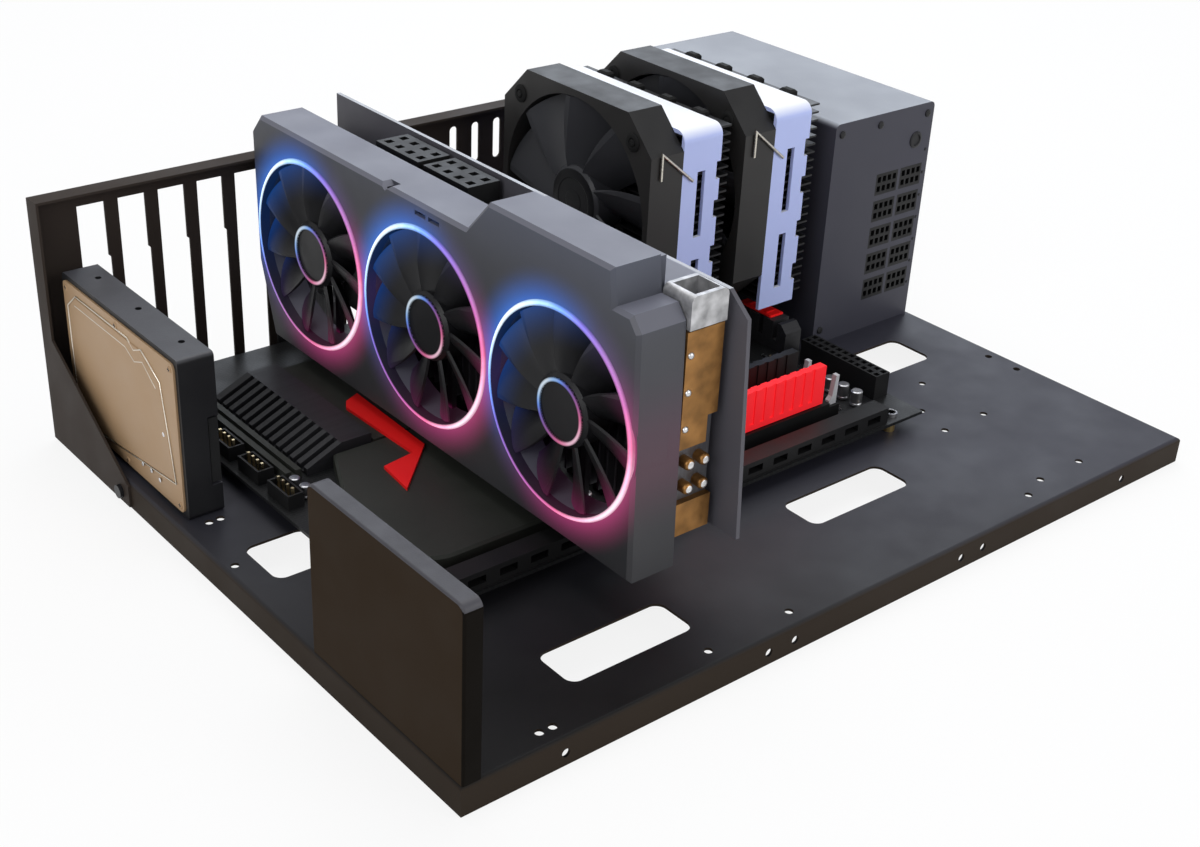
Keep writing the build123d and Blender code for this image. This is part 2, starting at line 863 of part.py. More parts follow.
def rotor(middle_x, depth, hub, tip, count, root, end):
    """Fan wheel about X: a hub with twisted, swept blades cut to a round tip."""
    low = hub - 2
    high = tip + 2
    middle = ((root[0] + end[0]) / 2, (root[1] + end[1]) / 2)
    sections = [
        blade_section(root, low, 0),
        blade_section(middle, (low + high) / 2, blade_sweep * tip / 4),
        blade_section(end, high, blade_sweep * tip),
    ]
    blade = mirror(loft(sections), about=Plane.XZ)
    wheel = Rot(0, 90, 0) * Cylinder(hub, depth)
    wheel = chamfer(wheel.edges().sort_by(Axis.X)[0], 1.5)
    wheel = wheel + [Rot(360 * index / count, 0, 0) * blade for index in range(count)]
    wheel = wheel & (Rot(0, 90, 0) * Cylinder(tip, depth))
    wheel -= rod_x(fan_pin_r + pin_gap, (-depth / 4, depth), 0, 0)
    return Pos(middle_x, 0, 0) * wheel


def spider(hub, reach, x, pin_end, count):
    """Hub plate with arms and the pin that carries a fan wheel, about X."""
    body = rod_x(hub, x, 0, 0)
    for index in range(count):
        arm = block(x, span(0, strut_w), (0, reach))
        body += Rot(360 * (index + 0.5) / count, 0, 0) * arm
    return body + rod_x(fan_pin_r, (min(pin_end, x[0]), max(pin_end, x[1])), 0, 0)


def cooler_fan_x(index):
    """Limits of a cooler fan along X; it stands before its fin stack."""
    return (tower_x[index] - fan_t, tower_x[index])


def cooler_frame(index):
    """Square fan frame with cut corners, and the arms that carry its wheel."""
    x = cooler_fan_x(index)
    long = tower_half
    short = tower_half - fan_corner
    face = outline(
        (short, long),
        (long, short),
        (long, -short),
        (short, -long),
        (-short, -long),
        (-long, -short),
        (-long, short),
        (-short, long),
    )
    frame = slab_x(face, x) - rod_x(fan_mouth_r, (x[0] - 1, x[1] + 1), 0, 0)
    back = (x[1] - strut_t, x[1])
    frame += spider(fan_hub_r, fan_mouth_r + 1, back, x[0] + 6, 4)
    return Pos(0, fan_y, fan_z) * frame


def cooler_rotor(index):
    """Wheel of a cooler fan."""
    x = cooler_fan_x(index)
    depth = fan_t - strut_t - hub_gap - 1.0
    tip = fan_mouth_r - fan_tip_gap
    wheel = rotor(x[0] + 1.0 + depth / 2, depth, fan_hub_r, tip, 9, (20.0, 44.0), (36.0, 26.0))
    return Pos(0, fan_y, fan_z) * wheel


def fan_clips():
    """Spring wires that hold the fans to the fin stacks."""
    wires = []
    for index in (0, 1):
        x = cooler_fan_x(index)
        for side in (-1, 1):
            y = cpu_y + side * (tower_half + clip_r)
            low = (x[0] + 6, y, cooler_top - clip_low)
            bend = (x[0] + 6, y, cooler_top - clip_bend)
            hook = (tower_x[index] + 6, y, cooler_top - clip_hook)
            path = Polyline(low, bend, hook)
            start = Plane(low, z_dir=(0, 0, 1))
            wires.append(sweep(start * Circle(clip_r), path=path, transition=Transition.RIGHT))
    return group(wires)


# Graphics card

card_fans = [card_mid_y + step * card_fan_pitch for step in (1, 0, -1)]
card_tail = card_mid_y - shroud_tail
card_rear = card_mid_y + shroud_rear
rotor_x = card_face_x + 1.2 + card_rotor_t / 2
sink_back = card_pcb_x - chip_t
bridge_y = (card_tail + 13.5, card_tail + 88)


def shroud_outline():
    """Side outline of the fan cover, in Y and Z."""
    return outline(
        (card_tail - 4, card_low),
        (card_rear - 13, card_low),
        (card_rear - 1, card_low + 38),
        (card_rear, shroud_top_rear - 9),
        (card_rear - 8, shroud_top_rear),
        (bridge_y[1] + 20, shroud_top_rear),
        (bridge_y[1] + 5, shroud_crest),
        (bridge_y[0] + 2, shroud_crest),
        (bridge_y[0], shroud_step),
        (card_tail + 4, shroud_step),
        (card_tail - 1, shroud_step - 6),
    )


def card_shroud():
    """Fan cover: an open-backed shell with three round mouths and a pin for each fan."""
    face = shroud_outline()
    shell = slab_x(face, (card_face_x, shroud_back))
    front = shell.faces().sort_by(Axis.X)[0]
    shell = chamfer(front.edges(), 1.6)
    shell -= slab_x(offset(face, -shroud_wall), (card_face_x + shroud_wall, shroud_back + 1))
    duct = (card_face_x + shroud_wall / 2, rotor_x + card_rotor_t / 2 + hub_gap + strut_t)
    mouth = card_ring_r - card_ring_w
    for y in card_fans:
        shell += rod_x(card_ring_r + 0.9, duct, y, card_fan_z)
    for y in card_fans:
        shell -= rod_x(card_ring_r, (card_face_x - 1, card_face_x + 4), y, card_fan_z)
        shell -= rod_x(mouth, (card_face_x - 1, shroud_back + 1), y, card_fan_z)
    back = (duct[1] - strut_t, duct[1])
    arms = spider(card_hub_r - 1, mouth + 0.5, back, rotor_x - 1, 3)
    shell = shell + [Pos(0, y, card_fan_z) * arms for y in card_fans]
    post_x = (card_face_x + shroud_wall / 2, shroud_back)
    posts = [
        rod_x(shroud_post_r, post_x, card_mid_y + side * card_fan_pitch / 2, z)
        for side in (-1, 1)
        for z in (card_fan_z - shroud_post_rise, card_fan_z + shroud_post_rise)
    ]
    return shell - shroud_marks() + posts + card_cap()


def shroud_marks():
    """Small notch in the fan cover's upper edge, and slits above its middle mouth."""
    notch_y = card_mid_y + 29
    notch = outline(
        (notch_y - 5, shroud_top_rear + 1),
        (notch_y + 5, shroud_top_rear + 1),
        (notch_y, shroud_top_rear - 3),
    )
    marks = [slab_x(notch, (card_face_x - 1, card_face_x + 6))]
    for low in (card_mid_y - 12, card_mid_y - 2):
        z = (shroud_top_rear - 6, shroud_top_rear - 4)
        marks.append(block((card_face_x - 1, card_face_x + shroud_wall + 1), (low, low + 8), z))
    return marks


def card_cap():
    """Lip behind the fan cover's crest, and its flange to the backplate."""
    face = outline(
        (shroud_back, backplate_top - 4),
        (backplate_x, backplate_top - 4),
        (backplate_x, backplate_top),
        (shroud_back + 3, backplate_top),
        (shroud_back + 3, shroud_crest - 0.8),
        (shroud_back, shroud_crest - 0.8),
    )
    return slab_y(face, (bridge_y[0] + 2, bridge_y[1]))


def light_rings():
    """Translucent ring set in each mouth of the fan cover."""
    x = (card_face_x - card_ring_proud, card_face_x + 4)
    rings = []
    for y in card_fans:
        ring = rod_x(card_ring_r, x, y, card_fan_z)
        ring = chamfer(ring.edges().sort_by(Axis.X)[0], 0.8)
        rings.append(ring - rod_x(card_ring_r - card_ring_w, (x[0] - 1, x[1] + 1), y, card_fan_z))
    return group(rings)


def card_rotor(y):
    """Wheel of one graphics card fan, with a raised rim on its hub."""
    tip = card_ring_r - card_ring_w - card_tip_gap
    wheel = rotor(rotor_x, card_rotor_t, card_hub_r, tip, 11, (13.0, 40.0), (26.0, 26.0))
    front = rotor_x - card_rotor_t / 2
    rim = rod_x(hub_rim_r, (front - hub_rim_proud, front + hub_rim_proud), 0, 0)
    rim -= rod_x(hub_rim_r - hub_rim_w, (front - 2, front + 2), 0, 0)
    return Pos(0, y, card_fan_z) * (wheel + rim)


def card_heatsink():
    """Fins on a base plate that presses on the chip."""
    x = (shroud_back, sink_back)
    y = (card_tail + 1, card_rear - sink_rear_gap)
    z = (card_low + 12, shroud_top_rear - 9)
    body = block((sink_back - sink_base_t, sink_back), y, z)
    count = int((y[1] - y[0] - sink_fin_t) / sink_fin_pitch)
    fins = []
    for index in range(count + 1):
        low = y[0] + index * sink_fin_pitch
        fins.append(block((x[0], sink_back - sink_base_t), (low, low + sink_fin_t), z))
    return body + fins


def copper_ends():
    """Copper end plates on the heatsink's tail, with the pipe ends between them."""
    y = (card_tail - 2, card_tail + 1)
    x = (shroud_back + 0.5, sink_back)
    upper = block(x, y, (card_low + 52, shroud_top_rear - 10))
    upper -= block((x[1] - 5, x[1] + 1), (y[0] - 1, y[1] + 1), (card_low + 51, card_low + 64))
    lower = block(x, y, (card_low + 12, card_low + 27))
    ends = []
    for z in (card_low + 34, card_low + 45):
        for pipe in (x[0] + 5, x[0] + 13):
            tube = rod_y(2.6, pipe, (card_tail - 4.5, card_tail + 1), z)
            ends.append(fillet(tube.edges().sort_by(Axis.Y)[0], 1.8))
    return group([upper, lower] + ends)


def tail_bracket():
    """Bright stiffener across the card's upper tail corner."""
    x = (shroud_back + 0.5, sink_back)
    y = (card_tail - 3, bridge_y[0])
    z = (shroud_top_rear - 9, shroud_step + 4)
    body = block(x, y, z)
    body = fillet(body.edges().filter_by(Axis.Y).sort_by(Axis.Z)[-2:], 3.0)
    return body - block((x[0] + 3, x[1] - 3), (y[0] + 2, y[1] - 2), (z[0] + 3, z[1] + 1))


def card_board():
    """The card's board, with its chip and the edge that plugs into the mainboard."""
    x = (card_pcb_x, card_pcb_x + card_pcb_t)
    y = (card_tail + 30, tray_d - bracket_t)
    body = block(x, y, (card_low + 4, card_pcb_top))
    finger = (slot_y[0] + 4, slot_y[1] - 4)
    body += block(x, finger, (card_low + 4 - finger_drop, card_low + 4))
    chip_y = span(card_mid_y, 40)
    return body + block((sink_back, card_pcb_x), chip_y, span(card_fan_z, 40))


slot_y = (tray_d - 140, tray_d - 46)
slot_h = 11.0


def card_slot_socket():
    """Long socket on the mainboard that the card's edge drops into."""
    middle = card_pcb_x + card_pcb_t / 2
    body = block(span(middle, 7.5), slot_y, (board_top, board_top + slot_h))
    groove_y = (slot_y[0] + 3.8, slot_y[1] - 3.8)
    groove_z = (card_low + 4 - finger_drop, board_top + slot_h + 1)
    return body - block(span(middle, card_pcb_t + 0.2), groove_y, groove_z)


def backplate():
    """Stiff plate behind the card, with a cut tail corner and air slots."""
    x = (backplate_x, backplate_x + backplate_t)
    tail = card_mid_y - backplate_tail
    rear = card_rear - 0.5
    face = outline(
        (tail, backplate_low),
        (rear, backplate_low),
        (rear, backplate_top),
        (tail + 16, backplate_top),
        (tail + 5, backplate_top - 9),
    )
    plate = slab_x(face, x)
    slot_z = (backplate_low + 22, backplate_top - 22)
    through = (x[0] - 1, x[1] + 1)
    for index in range(8):
        plate -= slab_x(rounded(span(tail + 34 + index * 8, 4), slot_z, 1.9), through)
    studs = [
        rod_x(2.2, (card_pcb_x + card_pcb_t, backplate_x), y, z)
        for y in (card_tail + 40, card_rear - 25)
        for z in (card_low + 20, card_pcb_top - 12)
    ]
    return plate + studs


bracket_x = (
    slot_first + (card_slot - 1) * slot_pitch - slot_w / 2 - 1.5,
    slot_first + card_slot * slot_pitch + slot_w / 2 + 1.5,
)
port_x = (card_pcb_x - 6.8, card_pcb_x)
port_h = 16.0
port_z = [card_low + 14 + index * 18.5 for index in range(4)]


def card_bracket():
    """Slotted plate that closes two slots and holds the card's rear end."""
    y = (tray_d - bracket_t, tray_d)
    top = panel_h - sheet_t - 2
    plate = block(bracket_x, y, (tray_h + 2.5, top))
    cuts = [
        block((port_x[0] - 0.3, port_x[1]), (y[0] - 1, y[1] + 1), span(z, port_h + 0.6)) for z in port_z
    ]
    x = span(slot_first + (card_slot - 1) * slot_pitch, bracket_vent_w)
    for row in range(bracket_vents):
        z = card_low + row * bracket_vent_pitch
        cuts.append(block(x, (y[0] - 1, y[1] + 1), (z, z + bracket_vent_h)))
    return plate - cuts


def card_ports():
    """Display sockets on the card's rear edge, each with a tongue."""
    ports = []
    middle = (port_x[0] + port_x[1]) / 2
    for z in port_z:
        body = block(port_x, (tray_d - 17, panel_rear), span(z, port_h))
        body -= block((port_x[0] + 1, port_x[1] - 1), (tray_d - 8, panel_rear + 1), span(z, port_h - 2))
        body += block(span(middle, 1.4), (tray_d - 8, tray_d), span(z, port_h - 6))
        ports.append(body)
    return group(ports)


def card_power_socket():
    """Two power sockets on the card's upper edge."""
    x = (shroud_back + 4, card_pcb_x)
    z = (shroud_top_rear - 9, backplate_top - 1)
    sockets = []
    for y0 in (card_mid_y + 6, card_mid_y + 44):
        body = block(x, (y0, y0 + 34), z)
        wells = []
        for column in range(4):
            for row in range(2):
                y = span(y0 + 4.25 + column * 8.5, 3.8)
                well_x = span(x[0] + 4.5 + row * 8, 3.8)
                wells.append(block(well_x, y, (z[1] - 6, z[1] + 1)))
        sockets.append(body - wells)
    return group(sockets)


# Power supply

psu_mid_y = psu_front + psu_l / 2
psu_mid_z = tray_h + psu_h / 2
psu_x = (psu_left, psu_right)
psu_y = (psu_front, tray_d)
psu_z = (tray_h, psu_top)
psu_fan_y = psu_mid_y - 8
inlet_x = (psu_left + 14, psu_left + 44)
inlet_z = (tray_h + 18, tray_h + 42)
rocker_x = span(psu_left + 29, rocker_w)
rocker_z = tray_h + 66
socket_columns = (psu_left + 36, psu_left + 55)
socket_rows = 5
psu_socket_w = 17.0
psu_socket_h = 12.0
psu_socket_pitch = 15.2
psu_socket_low = 18.0


def psu_case():
    """Steel case with a fan mouth on the right, socket windows in front and a rear grid."""
    shell = block(psu_x, psu_y, psu_z)
    shell = fillet(shell.edges().filter_by(Axis.Y).sort_by(Axis.Z)[-2:], 3.0)
    inner = [(low + psu_wall, high - psu_wall) for low, high in (psu_x, psu_y, psu_z)]
    shell -= block(*inner)
    cuts = [rod_x(psu_fan_r - 2, (psu_right - 3, psu_right + 1), psu_fan_y, psu_mid_z)]
    for x in socket_columns:
        for row in range(socket_rows):
            cuts.append(block((x, x + psu_socket_w), (psu_front - 1, psu_front + 2), psu_socket_z(row)))
    for row in range(7):
        z = (rocker_z + 16 + row * 5, rocker_z + 18.5 + row * 5)
        if z[1] < psu_top - 6:
            cuts.append(block((psu_left + 10, psu_right - 10), (tray_d - 2, tray_d + 1), z))
    through = (tray_d - 2, tray_d + 1)
    cuts.append(block(inlet_x, through, inlet_z))
    cuts.append(block((rocker_x[0] - 2, rocker_x[1] + 2), through, span(rocker_z, rocker_h + 4)))
    shell -= cuts
    rings = []
    for r in (14.0, 24.0, 34.0, 44.0):
        ring = rod_x(r + 0.9, (psu_right - psu_wall, psu_right), psu_fan_y, psu_mid_z)
        rings.append(ring - rod_x(r - 0.9, (psu_right - 3, psu_right + 1), psu_fan_y, psu_mid_z))
    arms = []
    for index in range(4):
        arm = block((psu_right - psu_wall, psu_right), span(0, 3), (14, psu_fan_r - 1))
        arms.append(Pos(0, psu_fan_y, psu_mid_z) * Rot(45 + 90 * index, 0, 0) * arm)
    return shell + rings + arms


def psu_socket_z(row):
    """Limits along Z of one row of the supply's front sockets."""
    low = tray_h + psu_socket_low + row * psu_socket_pitch
    return (low, low + psu_socket_h)


def psu_sockets():
    """Front sockets of the supply, each with two rows of wells."""
    sockets = []
    for x in socket_columns:
        for row in range(socket_rows):
            z = psu_socket_z(row)
            body = block((x, x + psu_socket_w), (psu_front, psu_front + 11), z)
            wells = []
            for column in range(4):
                for line in range(2):
                    well_x = span(x + 2.6 + column * 3.95, 2.6)
                    well_z = span(z[0] + 3.4 + line * 5.2, 3.2)
                    wells.append(block(well_x, (psu_front - 1, psu_front + 6), well_z))
            sockets.append(body - wells)
    return group(sockets)


def psu_frame():
    """Square frame of the supply's fan, fixed inside the right wall."""
    x = (psu_right - psu_wall - psu_fan_t, psu_right - psu_wall)
    side = 2 * psu_fan_r + 4
    body = block(x, span(0, side), span(0, side))
    body -= rod_x(psu_fan_r - 2, (x[0] - 1, x[1] + 1), 0, 0)
    back = (x[0], x[0] + strut_t)
    body += spider(psu_hub_r, psu_fan_r - 1, back, x[1] - 6, 3)
    return Pos(0, psu_fan_y, psu_mid_z) * body


def psu_rotor():
    """Wheel of the supply's fan; its open side faces the right wall."""
    depth = psu_fan_t - strut_t - hub_gap - 1.0
    middle = psu_right - psu_wall - 1.0 - depth / 2
    wheel = rotor(0, depth, psu_hub_r, psu_fan_r - 3.2, 7, (16.0, 50.0), (25.0, 33.0))
    return Pos(middle, psu_fan_y, psu_mid_z) * Rot(0, 0, 180) * wheel


def psu_inlet():
    """Mains inlet with three blades, and the switch's housing."""
    depth = 16.0
    y = (tray_d - depth, tray_d + 0.8)
    body = block(inlet_x, y, inlet_z)
    well_y = (tray_d - 12, tray_d + 2)
    body -= block((inlet_x[0] + 3, inlet_x[1] - 3), well_y, (inlet_z[0] + 3, inlet_z[1] - 3))
    middle = ((inlet_x[0] + inlet_x[1]) / 2, (inlet_z[0] + inlet_z[1]) / 2)
    for dx, dz in ((-6, -3), (6, -3), (0, 3)):
        body += block(span(middle[0] + dx, 2), (tray_d - 13, tray_d - 4), span(middle[1] + dz, 4))
    frame_x = (rocker_x[0] - 2, rocker_x[1] + 2)
    frame = block(frame_x, y, span(rocker_z, rocker_h + 4))
    well_x = (rocker_x[0] - 0.4, rocker_x[1] + 0.4)
    frame -= block(well_x, (tray_d - 13, tray_d + 2), span(rocker_z, rocker_h + 0.8))
    frame += rod_x(1.0, frame_x, tray_d - rocker_depth, rocker_z)
    return group([body, frame])


def psu_rocker():
    """Rocker of the mains switch on its pin, tipped to one end of its travel."""
    half = rocker_h / 2 - 0.8
    face = outline(
        (-2.5, -2.5),
        (-2.5, 2.5),
        (3.8, half),
        (5.4, half),
        (4.2, 0),
        (5.4, -half),
        (3.8, -half),
    )
    body = slab_x(face, rocker_x) - rod_x(1.0 + pin_gap, (rocker_x[0] - 1, rocker_x[1] + 1), 0, 0)
    return Pos(0, tray_d - rocker_depth, rocker_z) * Rot(-rocker_tilt, 0, 0) * body


psu_board_x = (psu_left + psu_wall + 4, psu_left + psu_wall + 5.6)


def psu_board():
    """Board inside the supply, on four posts."""
    y = (psu_front + 14, tray_d - 20)
    z = (tray_h + 8, psu_top - 8)
    body = block(psu_board_x, y, z)
    for post_y in (y[0] + 6, y[1] - 6):
        for post_z in (z[0] + 6, z[1] - 6):
            body += rod_x(3, (psu_left + psu_wall, psu_board_x[0]), post_y, post_z)
    return body


def psu_parts():
    """Heatsinks, transformer, choke and large capacitors on the supply's board."""
    x = psu_board_x[1]
    y = psu_mid_y
    parts = []
    for z in (tray_h + 34, psu_top - 38):
        plate = block((x, x + 32), (psu_front + 30, tray_d - 50), (z, z + 3))
        for index in range(6):
            fin_y = psu_front + 32 + 12 * index
            plate += block((x + 29, x + 32), (fin_y, fin_y + 6), (z - 5, z + 8))
        parts.append(plate)
    parts.append(block((x, x + 26), span(y, 32), span(psu_mid_z, 28)))
    parts += [rod_x(11, (x, x + 28), y + step, tray_h + 20) for step in (-30, -4, 22)]
    choke = rod_x(13, (x, x + 12), y - 10, psu_top - 22)
    parts.append(choke - rod_x(5, (x - 1, x + 14), y - 10, psu_top - 22))
    return group(parts)


# Drive

drive_y = (tray_d - drive_from_rear - drive_l, tray_d - drive_from_rear)
drive_z = (tray_h, tray_h + drive_h)
drive_x = (drive_left, drive_left + drive_t)
drive_edge = 2.5


def drive_base():
    """Cast body of the drive, standing on its long edge."""
    x = (drive_x[0] + drive_cover_t, drive_x[1] - 1.6)
    body = block(x, drive_y, drive_z)
    body = fillet(body.edges().filter_by(Axis.X), 2.0)
    holes = [
        rod_z(1.5, (x[0] + x[1]) / 2 + 2, y, (drive_z[1] - 5, drive_z[1] + 1))
        for y in (drive_y[0] + 16, drive_y[0] + 56, drive_y[1] - 16)
    ]
    pocket_z = (drive_z[0] + 14, drive_z[1] - 30)
    pocket = block((x[1] - 5, x[1] + 1), (drive_y[0] - 1, drive_y[0] + 6), pocket_z)
    return body - holes - pocket


def drive_cover():
    """Bright cover plate with a raised panel that follows the disc."""
    x = (drive_x[0] + 0.5, drive_x[0] + drive_cover_t)
    y = (drive_y[0] + drive_edge, drive_y[1] - drive_edge)
    z = (drive_z[0] + drive_edge, drive_z[1] - drive_edge)
    plate = slab_x(rounded(y, z, 3.0), x)
    raised = outline(
        (y[0] + 6, z[0] + 14),
        (y[1] - 20, z[0] + 4),
        (y[1] - 5, z[0] + 16),
        (y[1] - 5, z[1] - 12),
        (y[1] - 14, z[1] - 5),
        (y[0] + 30, z[1] - 5),
        (y[0] + 14, z[1] - 14),
    )
    panel = slab_x(raised, (drive_x[0], x[0]))
    return plate + chamfer(panel.faces().sort_by(Axis.X)[0].edges(), 0.3)


def drive_board():
    """Controller board on the drive's hidden side, with its socket."""
    x = (drive_x[1] - 1.6, drive_x[1])
    board = block(x, (drive_y[0] + 4, drive_y[1] - 38), (drive_z[0] + 6, drive_z[1] - 10))
    socket_z = (drive_z[0] + 15, drive_z[1] - 31)
    socket = block((x[0] - 4.5, x[0]), (drive_y[0] + 0.6, drive_y[0] + 5.6), socket_z)
    return board + socket


fixed = {
    "base_tray": base_tray(),
    "rear_panel": rear_panel(),
    "side_panel": side_panel(),
    "bench_screws": bench_screws(),
    "standoffs": standoffs(),
    "board_screws": board_screws(),
    "mainboard": mainboard(),
    "chipset_heatsink": chipset_heatsink(),
    "board_covers": board_covers(),
    "red_trim": red_trim(),
    "board_edge_sockets": board_edge_bars(),
    "left_headers": left_headers(),
    "vrm_heatsinks": vrm_heatsinks(),
    "io_ports": io_ports(),
    "cpu_socket": cpu_socket(),
    "processor": processor(),
    "board_power_sockets": board_power_sockets(),
    "dimm_slots": dimm_slots(),
    "cooler_base": cooler_base(),
    "heat_pipes": heat_pipes(),
    "tower_pads": tower_pads(),
    "fan_clips": fan_clips(),
    "card_shroud": card_shroud(),
    "light_rings": light_rings(),
    "card_heatsink": card_heatsink(),
    "copper_ends": copper_ends(),
    "tail_bracket": tail_bracket(),
    "card_board": card_board(),
    "card_slot_socket": card_slot_socket(),
    "backplate": backplate(),
    "card_bracket": card_bracket(),
    "card_ports": card_ports(),
    "card_power_socket": card_power_socket(),
    "psu_case": psu_case(),
    "psu_sockets": psu_sockets(),
    "psu_fan_frame": psu_frame(),
    "psu_inlet": psu_inlet(),
    "psu_board": psu_board(),
    "psu_parts": psu_parts(),
    "drive_base": drive_base(),
    "drive_cover": drive_cover(),
    "drive_board": drive_board(),
    "psu_rotor": psu_rotor(),
    "psu_rocker": psu_rocker(),
}
for node, shape in fixed.items():
    save(node, shape)
for number, x0 in enumerate(tower_x, start=1):
    save(f"fin_stack_{number}", fin_stack(x0))
    save(f"tower_cover_{number}", tower_cover(x0))
    save(f"cooler_fan_frame_{number}", cooler_frame(number - 1))
    save(f"cooler_rotor_{number}", cooler_rotor(number - 1))
for number, y in enumerate(card_fans, start=1):
    save(f"card_rotor_{number}", card_rotor(y))
for number, index in enumerate(filled, start=1):
    save(f"memory_module_{number}", memory_module(dimm_y[index]))
    save(f"dimm_latch_{number}", dimm_latch(dimm_y[index]))
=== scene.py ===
import json
import math
import random

import bmesh
import bpy
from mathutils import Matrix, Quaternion, Vector


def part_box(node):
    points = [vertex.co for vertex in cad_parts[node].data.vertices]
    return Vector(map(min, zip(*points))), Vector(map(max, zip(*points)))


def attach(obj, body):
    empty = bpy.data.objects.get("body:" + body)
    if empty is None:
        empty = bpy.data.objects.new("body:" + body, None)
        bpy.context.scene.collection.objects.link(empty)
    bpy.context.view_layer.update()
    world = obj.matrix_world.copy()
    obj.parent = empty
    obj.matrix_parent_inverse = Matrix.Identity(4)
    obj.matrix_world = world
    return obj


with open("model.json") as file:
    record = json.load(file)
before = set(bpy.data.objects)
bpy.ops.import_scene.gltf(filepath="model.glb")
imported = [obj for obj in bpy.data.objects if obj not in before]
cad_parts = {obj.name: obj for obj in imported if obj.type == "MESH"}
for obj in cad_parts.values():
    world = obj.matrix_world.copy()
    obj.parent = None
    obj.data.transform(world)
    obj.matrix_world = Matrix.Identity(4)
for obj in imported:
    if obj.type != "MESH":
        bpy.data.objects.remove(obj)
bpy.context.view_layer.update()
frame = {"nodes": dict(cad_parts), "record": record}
nodes = frame["nodes"]
scene = bpy.context.scene
MM = 0.001
ORIGIN = Vector((220.0, 169.0, 0.0))
X, Y, Z = range(3)
UP = (0, 0, 1)
LEFT, RIGHT = (-1, 0, 0), (1, 0, 0)
FRONT, REAR = (0, -1, 0), (0, 1, 0)


def at(x, y, z):
    """Place counted in millimetres from the tray's front left bottom corner, in metres."""
    return (Vector((x, y, z)) - ORIGIN) * MM


def limits(node):
    """Lowest and highest corner of a CAD node in the same millimetres."""
    low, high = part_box(node)
    return Vector(low) / MM + ORIGIN, Vector(high) / MM + ORIGIN


# Materials

NOISE_LOW, NOISE_HIGH = 0.3, 0.7  # nearly all noise values lie between these
GLOSS_SPREAD = 0.07
LINE_STRETCH = 0.03


